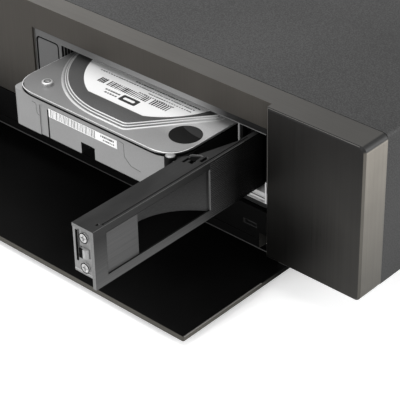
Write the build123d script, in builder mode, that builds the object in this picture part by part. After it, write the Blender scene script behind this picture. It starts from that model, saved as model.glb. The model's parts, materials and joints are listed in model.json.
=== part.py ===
from build123d import *
import os

# Media player with a flip-down front and a 3.5 inch hard drive rack.
# Millimetres. X to the right, front facing -Y, Z = 0 on the table under the feet.
# The origin is the middle of the whole outline, lever and sockets included, at table height.
# Pose as built: flip door down, rack lever open at a right angle, drive drawn out.

# ---- case -------------------------------------------------------------------
case_w = 430.0          # width over the front frame
case_d = 288.0          # front face to rear panel
body_h = 76.5           # front frame height without the feet
foot_h = 19.0
foot_r = 19.0
foot_pad_h = 3.0
foot_inset_x = 40.0     # foot axis from the side
foot_front_y = 52.0
foot_rear_inset = 34.0
frame_d = 15.2          # thickness of the front frame, front to back
frame_r = 3.0           # rounding of the frame corners seen from the front
block_w = 52.0          # solid block at each end of the front
recess = 3.8            # set-back of the middle panel behind the blocks
edge_c = 0.9            # bright chamfer round the blocks
sheet = 1.2             # steel sheet
seam = 0.3              # seam between neighbouring pieces
cover_lap = 1.4         # cover side walls stop this far above the bottom

# ---- rack -------------------------------------------------------------------
rack_w = 146.0
rack_h = 41.6
rack_drop = 13.7        # bezel top below the frame top
rack_side = 2.4         # bezel right side to the right block
bezel_back = 5.0        # bezel face behind the block face
bezel_d = 7.0
bezel_top = 3.6         # border above the mouth
bezel_step_h = 2.8      # lower face of the bottom border
bezel_lip_h = 4.6       # upper, set-back face of the bottom border
bezel_lip_back = 0.7
bezel_right = 1.6       # right stile
mouth_left = 18.4       # bezel left side to the mouth
key_w = 14.2            # push key in the left stile
key_gap = 0.45
key_left = 1.7
key_foot = 9.6          # key foot above the bezel bottom
key_head = 4.6          # key head below the bezel top
key_r = 2.0
key_d = 5.0
key_stem = 9.0
rib_w = 1.1             # rib between the drive mouth and the hinge bay
rib_right = 17.2        # bezel right side to the rib
rib_back = 2.8
rib_d = 2.0

# ---- drive ------------------------------------------------------------------
drive_w = 101.6
drive_l = 147.0
drive_rim_h = 21.0      # bottom to the rim of the cover
drive_cover_t = 1.2
drive_step = 0.7        # each pressed step of the cover
drive_out = 33.8        # drive nose ahead of the bezel face
drive_side = 2.3        # mouth left side to the drive
drive_lift = 4.8        # drive bottom above the mouth sill
drive_nose_r = 14.0     # cover corner radius at the nose
drive_body_r = 3.0
drive_travel = 47.0     # drawn-out place to fully home

# ---- lever ------------------------------------------------------------------
arm_t = 12.0
arm_h = 27.9
arm_reach = 99.4        # lever tip ahead of the bezel face
arm_right = 6.3         # lever outer face to the bezel right side
arm_head = 1.2          # lever top below the mouth top
arm_thin = 2.6          # wall at the hinge end
arm_thin_y = 10.0       # thin wall starts this far ahead of the bezel face
arm_waist_y = 29.0      # full thickness starts this far ahead of the bezel face
pin_in = 8.8            # pin axis inside the lever outer face
pin_deep = 8.8          # pin axis behind the bezel face
pin_r = 1.5
pin_run = 0.06          # running clearance of the pin
knuckle_r = 3.4
win_tip = 7.0           # window starts this far from the lever tip
win_l = 61.4
win_edge_top = 3.4
win_edge_low = 4.2
plate_l = 18.6
plate_back = 0.8
scoop_depth = 9.6
ramp_k = 0.83           # slope of the scoop floor

# ---- flip door --------------------------------------------------------------
door_t = 2.4
door_gap = 0.6          # door to each block
door_h = 75.6
door_drop = 13.7        # top face below the frame bottom while open
door_out = 53.5         # free edge ahead of the block face
goose_w = 4.0
goose_side = 1.2        # hinge leg from the block side
goose_l = 6.6           # leg length along the door
eye_r = 3.6
hinge_z = 3.0           # pin height above the frame bottom
hinge_in = 19.4         # pin behind the block face
hinge_pin_r = 1.5
ear_t = 2.0

# ---- reach, front to back ----------------------------------------------------
end_deep = 2.2          # lever end wall behind the tip
end_t = 1.2             # lever end plate
catch_out = 1.6         # catch ahead of the end plate
jack_l = 8.0            # audio jacks behind the rear panel

# ---- derived places ---------------------------------------------------------
z0 = foot_h
z1 = foot_h + body_h
tip_out = arm_reach - bezel_back - end_deep + end_t + catch_out
front_y = (tip_out - case_d - jack_l) / 2
recess_y = front_y + recess
frame_y1 = front_y + frame_d
rear_y = front_y + case_d
open_x = case_w / 2 - block_w
rack_x1 = open_x - rack_side
rack_x0 = rack_x1 - rack_w
rack_z1 = z1 - rack_drop
rack_z0 = rack_z1 - rack_h
bez_y = front_y + bezel_back
mouth_x0 = rack_x0 + mouth_left
mouth_x1 = rack_x1 - bezel_right
mouth_z0 = rack_z0 + bezel_step_h + bezel_lip_h
mouth_z1 = rack_z1 - bezel_top
rib_x1 = rack_x1 - rib_right
rib_x0 = rib_x1 - rib_w
drive_x0 = mouth_x0 + drive_side
drive_x1 = drive_x0 + drive_w
drive_y0 = bez_y - drive_out
drive_y1 = drive_y0 + drive_l
drive_z0 = mouth_z0 + drive_lift
rim_z = drive_z0 + drive_rim_h
arm_x1 = rack_x1 - arm_right
arm_x0 = arm_x1 - arm_t
arm_y0 = bez_y - arm_reach
arm_z1 = mouth_z1 - arm_head
arm_z0 = arm_z1 - arm_h
pin_x = arm_x1 - pin_in
pin_y = bez_y + pin_deep
door_x1 = open_x - door_gap
door_z1 = z0 - door_drop
door_z0 = door_z1 - door_t
door_y0 = front_y - door_out
door_y1 = door_y0 + door_h
axle_z = z0 + hinge_z
hinge_y = front_y + hinge_in
foot_xs = (-case_w / 2 + foot_inset_x, case_w / 2 - foot_inset_x)
foot_ys = (front_y + foot_front_y, rear_y - foot_rear_inset)
foot_spots = [(x, y) for x in foot_xs for y in foot_ys]

LOW = (Align.MIN, Align.MIN, Align.MIN)
CEN = (Align.CENTER, Align.CENTER, Align.MIN)
os.makedirs("parts", exist_ok=True)

# ---- front frame --------------------------------------------------------------
sill_h = rack_z0 - seam - z0            # black lower panel pocket height
lower_back = 11.2                       # pocket depth for the lower panel
notch_w = 6.4                           # room for each door leg
notch_h = 8.4
power_x = -case_w / 2 + block_w / 2
power_z = z0 + body_h / 2
power_bore = 8.4

with BuildPart() as front_frame:
    with Locations((-case_w / 2, front_y, z0)):
        Box(case_w, frame_d, body_h, align=LOW)
    fillet(front_frame.edges().filter_by(Axis.Y), radius=frame_r)
    with Locations((-open_x, front_y, z0)):
        Box(2 * open_x, recess, body_h, align=LOW, mode=Mode.SUBTRACT)
    nose = front_frame.edges().group_by(Axis.Y)[0]
    chamfer(nose, length=edge_c)
    with Locations((-open_x, recess_y, z0)):
        Box(2 * open_x, lower_back - recess, sill_h, align=LOW, mode=Mode.SUBTRACT)
    with Locations((rack_x0 - seam, front_y, z0 + sill_h)):
        Box(rack_w + 2 * seam, frame_d, rack_h + 2 * seam, align=LOW, mode=Mode.SUBTRACT)
    for side_x in (-open_x, open_x - notch_w):
        with Locations((side_x, front_y, z0)):
            Box(notch_w, frame_d, notch_h, align=LOW, mode=Mode.SUBTRACT)
    with Locations(Location((power_x, front_y, power_z), (-90, 0, 0))):
        Cylinder(power_bore, frame_d, align=CEN, mode=Mode.SUBTRACT)
front_frame.part.label = "front_frame"
export_step(front_frame.part, "parts/front_frame.step")

# ---- gloss black panel under the rack -------------------------------------------
panel_in = 3.4
panel_y = front_y + panel_in
micro_w = 8.0
micro_h = 2.8
micro_x = rack_x1 - 9.4
micro_z = z0 + 11.2
groove = 0.5
groove_z = 4.6

with BuildPart() as lower_panel:
    with Locations((-open_x + seam, panel_y, z0)):
        Box(2 * (open_x - seam), lower_back - seam - panel_in, sill_h - seam, align=LOW)
    for side_x in (-open_x, open_x - notch_w):
        with Locations((side_x, front_y, z0)):
            Box(notch_w, frame_d, notch_h, align=LOW, mode=Mode.SUBTRACT)
    with Locations((-open_x, panel_y, z0 + groove_z)):
        Box(2 * open_x, groove, groove, align=LOW, mode=Mode.SUBTRACT)
    with Locations((micro_x - micro_w / 2, panel_y, micro_z - micro_h / 2)):
        Box(micro_w, lower_back, micro_h, align=LOW, mode=Mode.SUBTRACT)
lower_panel.part.label = "lower_panel"
export_step(lower_panel.part, "parts/lower_panel.step")

micro_wall = 0.35
micro_fit = 0.1
with BuildPart() as service_port:
    with Locations((micro_x, panel_y + seam, micro_z)):
        Box(micro_w - 2 * micro_fit, lower_back - seam - panel_in - seam, micro_h - 2 * micro_fit,
            align=(Align.CENTER, Align.MIN, Align.CENTER))
    with Locations((micro_x, panel_y + seam, micro_z)):
        Box(micro_w - 2 * micro_fit - 2 * micro_wall, 5.0, micro_h - 2 * micro_fit - 2 * micro_wall,
            align=(Align.CENTER, Align.MIN, Align.CENTER), mode=Mode.SUBTRACT)
    with Locations((micro_x, panel_y + seam + 1.0, micro_z)):
        Box(micro_w - 3.2, 4.2, 0.6, align=(Align.CENTER, Align.MIN, Align.CENTER))
service_port.part.label = "service_port"
export_step(service_port.part, "parts/service_port.step")

# ---- display window in the left part of the middle panel ---------------------------
disp_x0 = -open_x + 28.0
disp_w = 92.0
disp_h = 24.0
disp_z0 = z0 + 32.0
disp_t = 2.0
with BuildPart() as display_window:
    with Locations((disp_x0, recess_y - 0.6, disp_z0)):
        Box(disp_w, 0.6, disp_h, align=LOW)
    rim = display_window.edges().filter_by(Axis.Y)
    fillet(rim, radius=disp_t)
display_window.part.label = "display_window"
export_step(display_window.part, "parts/display_window.step")

# ---- power key ---------------------------------------------------------------------
ring_t = 1.6
key_run = 0.35
with BuildPart() as power_ring:
    with Locations(Location((power_x, front_y + edge_c, power_z), (-90, 0, 0))):
        Cylinder(power_bore, frame_d - edge_c - 2.0, align=CEN)
        Cylinder(power_bore - ring_t, frame_d, align=CEN, mode=Mode.SUBTRACT)
power_ring.part.label = "power_ring"
export_step(power_ring.part, "parts/power_ring.step")

power_key_r = power_bore - ring_t - key_run
with BuildPart() as power_key:
    with Locations(Location((power_x, front_y + 0.6, power_z), (-90, 0, 0))):
        Cylinder(power_key_r, 12.0, align=CEN)
    crown = power_key.edges().group_by(Axis.Y)[0]
    fillet(crown, radius=0.8)
power_key.part.label = "power_key"
export_step(power_key.part, "parts/power_key.step")

key_travel = 1.5
with BuildPart() as power_switch:
    with Locations((power_x, front_y + 12.6 + key_travel + 0.5, power_z)):
        Box(11.0, 6.0, 11.0, align=(Align.CENTER, Align.MIN, Align.CENTER))
    with Locations((power_x, frame_y1, power_z)):
        Box(26.0, sheet, 30.0, align=(Align.CENTER, Align.MIN, Align.CENTER))
power_switch.part.label = "power_switch"
export_step(power_switch.part, "parts/power_switch.step")

# ---- flip door ---------------------------------------------------------------------
with BuildPart() as door_plate:
    with Locations((-door_x1, door_y0, door_z0)):
        Box(2 * door_x1, door_h, door_t, align=LOW)
    chamfer(door_plate.edges().filter_by(Axis.Z), length=0.5)
    chamfer(door_plate.faces().sort_by(Axis.Z)[-1].edges(), length=0.3)
door_plate.part.label = "door_plate"
export_step(door_plate.part, "parts/door_plate.step")

leg_x1 = open_x - goose_side
leg_x0 = leg_x1 - goose_w
leg_y0 = door_y1 - goose_l
with BuildPart() as door_legs:
    for leg_x in (leg_x0, -leg_x1):
        with Locations((leg_x, leg_y0, door_z1)):
            Box(goose_w, goose_l, axle_z - door_z1, align=LOW)
        with Locations(Location((leg_x, hinge_y, axle_z), (0, 90, 0))):
            Cylinder(eye_r, goose_w, align=CEN)
            Cylinder(hinge_pin_r + pin_run, goose_w, align=CEN, mode=Mode.SUBTRACT)
door_legs.part.label = "door_legs"
export_step(door_legs.part, "parts/door_legs.step")

ear_run = 0.4
pin_over = 0.6
ear_in = leg_x0 - ear_run - ear_t
ear_out = leg_x1 + ear_run
with BuildPart() as hinge_ears:
    for ear_x in (ear_in, ear_out, -ear_in - ear_t, -ear_out - ear_t):
        with Locations((ear_x, frame_y1 + 0.4, z0 + sheet)):
            Box(ear_t, 9.0, hinge_z + 3.0 - sheet, align=LOW)
    for ear_x in (ear_in, -ear_out - ear_t):
        with Locations(Location((ear_x, hinge_y, axle_z), (0, 90, 0))):
            Cylinder(hinge_pin_r, 2 * ear_t + 2 * ear_run + goose_w, align=CEN, mode=Mode.SUBTRACT)
hinge_ears.part.label = "hinge_ears"
export_step(hinge_ears.part, "parts/hinge_ears.step")

with BuildPart() as hinge_pins:
    for ear_x in (ear_in, -ear_out - ear_t):
        with Locations(Location((ear_x - pin_over, hinge_y, axle_z), (0, 90, 0))):
            Cylinder(hinge_pin_r, 2 * ear_t + 2 * ear_run + goose_w + 2 * pin_over, align=CEN)
hinge_pins.part.label = "hinge_pins"
export_step(hinge_pins.part, "parts/hinge_pins.step")

# ---- chassis ------------------------------------------------------------------------
chassis_in = 2.0                        # chassis side inside the case width
flange_h = 14.0
floor_y0 = frame_y1
floor_y1 = rear_y - sheet
slot_l = 34.0
slot_w = 3.0
leg_room = 6.0
screw_r = 1.5
side_screw_ys = (front_y + 60.0, rear_y - 48.0)
side_screw_z = z0 + flange_h / 2 + cover_lap / 2
floor_vent_x = -60.0
floor_vent_y = front_y + 170.0

with BuildPart() as chassis:
    with Locations((-case_w / 2 + chassis_in, floor_y0, z0)):
        Box(case_w - 2 * chassis_in, floor_y1 - floor_y0, sheet, align=LOW)
    for side_x in (-case_w / 2 + chassis_in, case_w / 2 - chassis_in - sheet):
        with Locations((side_x, floor_y0, z0)):
            Box(sheet, floor_y1 - floor_y0, flange_h, align=LOW)
    for side_x in (leg_x0 - ear_run, -leg_x1 - ear_run):
        with Locations((side_x, floor_y0, z0)):
            Box(goose_w + 2 * ear_run, hinge_y + leg_room - floor_y0, flange_h, align=LOW,
                mode=Mode.SUBTRACT)
    with BuildSketch(Plane.XY.offset(z0)):
        with Locations((floor_vent_x, floor_vent_y)):
            with GridLocations(slot_l + 14.0, slot_w + 5.0, 3, 8):
                SlotOverall(slot_l, slot_w)
    extrude(amount=sheet, mode=Mode.SUBTRACT)
    for hole_y in side_screw_ys:
        with Locations(Location((-case_w / 2, hole_y, side_screw_z), (0, 90, 0))):
            Cylinder(screw_r, case_w, align=CEN, mode=Mode.SUBTRACT)
chassis.part.label = "chassis"
export_step(chassis.part, "parts/chassis.step")

# ---- painted cover: top and two sides -------------------------------------------------
vent_n = 14
vent_pitch = 8.0
vent_h = 34.0
vent_w = 3.2
vent_y = front_y + 176.0
vent_z = z0 + body_h / 2
cover_y0 = frame_y1 + seam
cover_y1 = rear_y - sheet - seam
cover_r = 2.4
roof_n = 12

with BuildPart() as top_cover:
    with Locations((-case_w / 2 + seam, cover_y0, z0 + cover_lap)):
        Box(case_w - 2 * seam, cover_y1 - cover_y0, body_h - cover_lap, align=LOW)
    top_long = top_cover.edges().filter_by(Axis.Y).group_by(Axis.Z)[-1]
    fillet(top_long, radius=cover_r)
    with Locations((-case_w / 2 + seam + sheet, cover_y0, z0)):
        Box(case_w - 2 * seam - 2 * sheet, cover_y1 - cover_y0, body_h - sheet, align=LOW,
            mode=Mode.SUBTRACT)
    with BuildSketch(Plane.YZ.offset(-case_w / 2)):
        with Locations((vent_y, vent_z)):
            with GridLocations(vent_pitch, 1.0, vent_n, 1):
                SlotOverall(vent_h, vent_w, rotation=90)
    extrude(amount=case_w, mode=Mode.SUBTRACT)
    with BuildSketch(Plane.XY.offset(z1 - 2 * sheet)):
        with Locations((-case_w / 4, rear_y - 62.0)):
            with GridLocations(vent_pitch, 1.0, roof_n, 1):
                SlotOverall(vent_h, vent_w, rotation=90)
    extrude(amount=3 * sheet, mode=Mode.SUBTRACT)
    for hole_y in side_screw_ys:
        with Locations(Location((-case_w / 2, hole_y, side_screw_z), (0, 90, 0))):
            Cylinder(screw_r + 0.2, case_w, align=CEN, mode=Mode.SUBTRACT)
top_cover.part.label = "top_cover"
export_step(top_cover.part, "parts/top_cover.step")

head_r = 3.0
head_h = 1.5
with BuildPart() as cover_screws:
    for hole_y in side_screw_ys:
        for sx, ang in ((case_w / 2 - seam, 90), (-case_w / 2 + seam, -90)):
            with Locations(Location((sx, hole_y, side_screw_z), (0, ang, 0))):
                Cylinder(head_r, head_h, align=CEN)
            with Locations(Location((sx, hole_y, side_screw_z), (0, -ang, 0))):
                Cylinder(screw_r, chassis_in + sheet - seam, align=CEN)
    crowns = cover_screws.edges().filter_by(GeomType.CIRCLE).filter_by(
        lambda e: abs(abs(e.center().X) - (case_w / 2 - seam + head_h)) < 0.05)
    fillet(crowns, radius=0.6)
    for hole_y in side_screw_ys:
        for sx in (case_w / 2 - seam + head_h, -case_w / 2 + seam - head_h):
            with Locations((sx, hole_y, side_screw_z)):
                Box(1.4, 3.4, 0.8, align=(Align.CENTER, Align.CENTER, Align.CENTER),
                    mode=Mode.SUBTRACT)
                Box(1.4, 0.8, 3.4, align=(Align.CENTER, Align.CENTER, Align.CENTER),
                    mode=Mode.SUBTRACT)
cover_screws.part.label = "cover_screws"
export_step(cover_screws.part, "parts/cover_screws.step")

# ---- rear panel and its sockets ----------------------------------------------------------
rear_y0 = rear_y - sheet
rear_h = body_h - 0.4
inlet_x = -168.0
inlet_w = 28.0
inlet_h = 20.0
sock_z = z0 + 30.0
fit_gap = 0.3
lan_x = -20.0
lan_w = 16.0
lan_h = 13.5
usb_x = 8.0
usb_w = 14.6
usb_h = 15.6
hdmi_x = -48.0
hdmi_w = 16.0
hdmi_h = 7.0
opt_x = -76.0
opt_w = 10.0
rca_x = 62.0
rca_pitch = 16.0
rca_n = 3
rca_rows = 2
rca_r = 4.4
rca_z = z0 + 38.0
sock_deep = 16.0
flange_t = 1.0

with BuildPart() as rear_panel:
    with Locations((-case_w / 2 + seam, rear_y0, z0)):
        Box(case_w - 2 * seam, sheet, rear_h, align=LOW)
    fillet(rear_panel.edges().filter_by(Axis.Y).group_by(Axis.Z)[-1], radius=cover_r)
    for cx, cw, ch in ((inlet_x, inlet_w, inlet_h), (lan_x, lan_w, lan_h), (usb_x, usb_w, usb_h),
                       (hdmi_x, hdmi_w, hdmi_h), (opt_x, opt_w, opt_w)):
        with Locations((cx, rear_y0, sock_z)):
            Box(cw + 2 * fit_gap, sheet, ch + 2 * fit_gap,
                align=(Align.CENTER, Align.MIN, Align.CENTER), mode=Mode.SUBTRACT)
    with BuildSketch(Plane.XZ.offset(-rear_y)):
        with Locations((rca_x, rca_z)):
            with GridLocations(rca_pitch, rca_pitch, rca_n, rca_rows):
                Circle(rca_r + fit_gap)
        with Locations((150.0, z0 + body_h / 2)):
            with GridLocations(7.0, 9.0, 9, 5):
                Circle(2.4)
    extrude(amount=2 * sheet, mode=Mode.SUBTRACT)
rear_panel.part.label = "rear_panel"
export_step(rear_panel.part, "parts/rear_panel.step")

inlet_wall = 1.8
inlet_deep = 14.0
blade_l = 9.0
with BuildPart() as power_inlet:
    with Locations((inlet_x, rear_y - inlet_deep - 2.0, sock_z)):
        Box(inlet_w, inlet_deep + 2.0 + flange_t, inlet_h,
            align=(Align.CENTER, Align.MIN, Align.CENTER))
    with Locations((inlet_x, rear_y, sock_z)):
        Box(inlet_w + 8.0, flange_t, inlet_h + 5.0,
            align=(Align.CENTER, Align.MIN, Align.CENTER))
    with Locations((inlet_x, rear_y - inlet_deep, sock_z)):
        Box(inlet_w - 2 * inlet_wall, inlet_deep + 2.0, inlet_h - 2 * inlet_wall,
            align=(Align.CENTER, Align.MIN, Align.CENTER), mode=Mode.SUBTRACT)
    for bx, bz in ((-7.0, -1.5), (0.0, 3.5), (7.0, -1.5)):
        with Locations((inlet_x + bx, rear_y - inlet_deep, sock_z + bz)):
            Box(1.6, blade_l, 4.0, align=(Align.CENTER, Align.MIN, Align.CENTER))
power_inlet.part.label = "power_inlet"
export_step(power_inlet.part, "parts/power_inlet.step")

lan_wall = 1.0
with BuildPart() as lan_socket:
    with Locations((lan_x, rear_y - sock_deep, sock_z)):
        Box(lan_w, sock_deep + 0.4, lan_h, align=(Align.CENTER, Align.MIN, Align.CENTER))
    with Locations((lan_x, rear_y - 11.0, sock_z)):
        Box(lan_w - 4 * lan_wall, 12.0, lan_h - 4.5 * lan_wall,
            align=(Align.CENTER, Align.MIN, Align.CENTER), mode=Mode.SUBTRACT)
lan_socket.part.label = "lan_socket"
export_step(lan_socket.part, "parts/lan_socket.step")

usb_wall = 1.0
port_h = 5.4
with BuildPart() as usb_sockets:
    with Locations((usb_x, rear_y - sock_deep, sock_z)):
        Box(usb_w, sock_deep + 0.4, usb_h, align=(Align.CENTER, Align.MIN, Align.CENTER))
    for dz in (-(port_h + usb_wall) / 2, (port_h + usb_wall) / 2):
        with Locations((usb_x, rear_y - 9.0, sock_z + dz)):
            Box(usb_w - 2 * usb_wall, 10.0, port_h,
                align=(Align.CENTER, Align.MIN, Align.CENTER), mode=Mode.SUBTRACT)
        with Locations((usb_x, rear_y - 9.0, sock_z + dz + port_h / 2 - 0.9)):
            Box(usb_w - 4 * usb_wall, 8.0, 0.9, align=(Align.CENTER, Align.MIN, Align.CENTER))
usb_sockets.part.label = "usb_sockets"
export_step(usb_sockets.part, "parts/usb_sockets.step")

hdmi_wall = 0.8
with BuildPart() as video_socket:
    with Locations((hdmi_x, rear_y - sock_deep, sock_z)):
        Box(hdmi_w, sock_deep + 0.4, hdmi_h, align=(Align.CENTER, Align.MIN, Align.CENTER))
    with Locations((hdmi_x, rear_y - 8.0, sock_z)):
        Box(hdmi_w - 2 * hdmi_wall, 9.0, hdmi_h - 2 * hdmi_wall,
            align=(Align.CENTER, Align.MIN, Align.CENTER), mode=Mode.SUBTRACT)
video_socket.part.label = "video_socket"
export_step(video_socket.part, "parts/video_socket.step")

with BuildPart() as optical_socket:
    with Locations((opt_x, rear_y - sock_deep, sock_z)):
        Box(opt_w, sock_deep + 1.2, opt_w, align=(Align.CENTER, Align.MIN, Align.CENTER))
    chamfer(optical_socket.edges().filter_by(Axis.Y).group_by(Axis.Z)[-1], length=1.6)
optical_socket.part.label = "optical_socket"
export_step(optical_socket.part, "parts/optical_socket.step")

rca_body_y = rear_y - sock_deep
with BuildPart() as audio_block:
    with Locations((rca_x, rca_body_y, rca_z)):
        Box(rca_pitch * rca_n - 2.0, sock_deep - sheet - seam, rca_pitch * rca_rows - 2.0,
            align=(Align.CENTER, Align.MIN, Align.CENTER))
audio_block.part.label = "audio_block"
export_step(audio_block.part, "parts/audio_block.step")

with BuildPart() as audio_jacks:
    with BuildSketch(Plane.XZ.offset(-rear_y + sheet + seam)):
        with Locations((rca_x, rca_z)):
            with GridLocations(rca_pitch, rca_pitch, rca_n, rca_rows):
                Circle(rca_r)
                Circle(1.7, mode=Mode.SUBTRACT)
    extrude(amount=-(sheet + seam + jack_l))
audio_jacks.part.label = "audio_jacks"
export_step(audio_jacks.part, "parts/audio_jacks.step")

# ---- feet ------------------------------------------------------------------------------
with BuildPart() as feet:
    with Locations(*[(x, y, foot_pad_h) for x, y in foot_spots]):
        Cone(foot_r - 1.4, foot_r, foot_h - foot_pad_h, align=CEN)
    with Locations(*[(x, y, foot_h - 4.0) for x, y in foot_spots]):
        Cylinder(foot_r + 1.0, 1.4, align=CEN, mode=Mode.SUBTRACT)
        Cylinder(foot_r - 1.6, 1.4, align=CEN)
feet.part.label = "feet"
export_step(feet.part, "parts/feet.step")

with BuildPart() as foot_pads:
    with Locations(*[(x, y, 0) for x, y in foot_spots]):
        Cylinder(foot_r - 3.0, foot_pad_h, align=CEN)
    chamfer(foot_pads.faces().sort_by(Axis.Z)[0:4].edges(), length=0.6)
foot_pads.part.label = "foot_pads"
export_step(foot_pads.part, "parts/foot_pads.step")

# ---- rack bezel ------------------------------------------------------------------------
key_x0 = rack_x0 + key_left
key_z0 = rack_z0 + key_foot
key_z1 = rack_z1 - key_head
key_h = key_z1 - key_z0
lip_z0 = rack_z0 + bezel_step_h
cage_z0 = rack_z0 + 0.6
cage_z1 = rack_z1 - 0.6
bez_y1 = bez_y + bezel_d

with BuildPart() as rack_bezel:
    with Locations((rack_x0, bez_y, rack_z0)):
        Box(rack_w, bezel_d, rack_h, align=LOW)
    chamfer(rack_bezel.faces().sort_by(Axis.Y)[0].edges(), length=0.5)
    with Locations((mouth_x0, bez_y, mouth_z0)):
        Box(mouth_x1 - mouth_x0, bezel_d, mouth_z1 - mouth_z0, align=LOW, mode=Mode.SUBTRACT)
    with Locations((mouth_x0, bez_y, lip_z0)):
        Box(mouth_x1 - mouth_x0, bezel_lip_back, mouth_z0 - lip_z0, align=LOW, mode=Mode.SUBTRACT)
    with Locations((mouth_x0, bez_y, lip_z0)):
        Box(mouth_x1 - mouth_x0, bezel_lip_back + 0.6, 0.6, align=LOW, mode=Mode.SUBTRACT)
    with BuildSketch(Plane.XZ.offset(-bez_y)):
        with Locations((key_x0 + key_w / 2, key_z0 + key_h / 2)):
            RectangleRounded(key_w + 2 * key_gap, key_h + 2 * key_gap, key_r + key_gap)
    extrude(amount=-bezel_d, mode=Mode.SUBTRACT)
    with Locations((rib_x0, bez_y + rib_back, mouth_z0)):
        Box(rib_w, rib_d, mouth_z1 - mouth_z0, align=LOW)
    with Locations((pin_x, pin_y, cage_z0)):
        Cylinder(knuckle_r + seam, cage_z1 - cage_z0, align=CEN, mode=Mode.SUBTRACT)
rack_bezel.part.label = "rack_bezel"
export_step(rack_bezel.part, "parts/rack_bezel.step")

with BuildPart() as eject_key:
    with BuildSketch(Plane.XZ.offset(-bez_y - 0.1)):
        with Locations((key_x0 + key_w / 2, key_z0 + key_h / 2)):
            RectangleRounded(key_w, key_h, key_r)
    extrude(amount=-key_d)
    fillet(eject_key.faces().sort_by(Axis.Y)[0].edges(), radius=0.5)
    with Locations((key_x0 + key_w / 2, bez_y + key_d - 0.2, key_z0 + key_h / 2)):
        Box(key_w - 8.0, key_stem, 6.0, align=(Align.CENTER, Align.MIN, Align.CENTER))
eject_key.part.label = "eject_key"
export_step(eject_key.part, "parts/eject_key.step")

# ---- rack cage, an open-front box of folded sheet ------------------------------------------
cage_wall = 1.2
cage_gap = 0.0
cage_y0 = bez_y1 + cage_gap
drive_home_y1 = drive_y1 + drive_travel
plug_gap = 0.5
back_y = drive_home_y1 + 6.0
cage_y1 = back_y + 4.0
cage_x0 = rack_x0 + 1.0
cage_x1 = rack_x1
rail_w = 6.0
rail_run = 0.3

with BuildPart() as rack_cage:
    with Locations((cage_x0, cage_y0, cage_z0)):
        Box(cage_x1 - cage_x0, cage_y1 - cage_y0, cage_z1 - cage_z0, align=LOW)
    with Locations((cage_x0 + cage_wall, cage_y0, cage_z0 + cage_wall)):
        Box(cage_x1 - cage_x0 - 2 * cage_wall, cage_y1 - cage_y0, cage_z1 - cage_z0 - 2 * cage_wall,
            align=LOW, mode=Mode.SUBTRACT)
    with Locations((cage_x0 + 22.0, cage_y0 + 24.0, cage_z1 - cage_wall)):
        Box(cage_x1 - cage_x0 - 56.0, 96.0, cage_wall, align=LOW, mode=Mode.SUBTRACT)
rack_cage.part.label = "rack_cage"
export_step(rack_cage.part, "parts/rack_cage.step")

rail_y0 = cage_y0 + 0.4
with BuildPart() as drive_rails:
    for wall_x0, wall_x1, lip_x0 in (
            (cage_x0 + cage_wall, drive_x0 - rail_run, drive_x0 - rail_run - 1.0),
            (drive_x1 + rail_run, drive_x1 + rail_run + 2.0, drive_x1 - rail_w)):
        with Locations((wall_x0, rail_y0 + 14.0, cage_z0 + cage_wall)):
            Box(wall_x1 - wall_x0, cage_y1 - rail_y0 - 20.0, drive_z0 + 16.0 - cage_z0 - cage_wall,
                align=LOW)
        with Locations((lip_x0, rail_y0 + 14.0, cage_z0 + cage_wall)):
            Box(rail_w + 1.0, cage_y1 - rail_y0 - 20.0, drive_z0 - rail_run - cage_z0 - cage_wall,
                align=LOW)
drive_rails.part.label = "drive_rails"
export_step(drive_rails.part, "parts/drive_rails.step")

with BuildPart() as backplane:
    with Locations((drive_x0 + 4.0, back_y, cage_z0 + cage_wall)):
        Box(drive_w - 8.0, 1.6, cage_z1 - cage_z0 - 2 * cage_wall, align=LOW)
backplane.part.label = "backplane"
export_step(backplane.part, "parts/backplane.step")

plug_w = 40.0
plug_x = drive_x0 + 26.0
plug_z = drive_z0 + 2.4
with BuildPart() as drive_plug:
    with Locations((plug_x, drive_home_y1 + plug_gap, plug_z)):
        Box(plug_w, back_y - drive_home_y1 - plug_gap, 7.0, align=LOW)
    with Locations((plug_x + 2.0, drive_home_y1 + plug_gap, plug_z + 3.0)):
        Box(plug_w - 4.0, 3.0, 1.2, align=LOW, mode=Mode.SUBTRACT)
drive_plug.part.label = "drive_plug"
export_step(drive_plug.part, "parts/drive_plug.step")

# ---- lever ---------------------------------------------------------------------------
waist_y = bez_y - arm_waist_y
thin_y = bez_y - arm_thin_y
leg_run_y = pin_y - knuckle_r + 0.6
win_y0 = arm_y0 + win_tip
win_y1 = win_y0 + win_l
win_z0 = arm_z0 + win_edge_low
win_z1 = arm_z1 - win_edge_top
plate_y1 = win_y0 + plate_l
skin_t = 1.8            # outer skin of the lever
skirt_h = 4.0           # skin runs this far below the inner part
cap_t = 1.6             # top cap
cap_over = 0.9          # cap ahead of the inner side wall
rim_in = 1.3            # rim beside the groove of the top face
arm_y_len = arm_reach - arm_waist_y - 6.0
skirt_run = -0.4        # collar under the lever
top_slots = ((9.6, 61.6, 1.3, 4.4), (7.2, 62.8, 2.2, 3.2), (4.2, 66.6, 1.5, 4.6),
             (3.4, 4.6, 1.0, 1.6), (2.0, 6.6, 0.9, 1.4))

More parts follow.
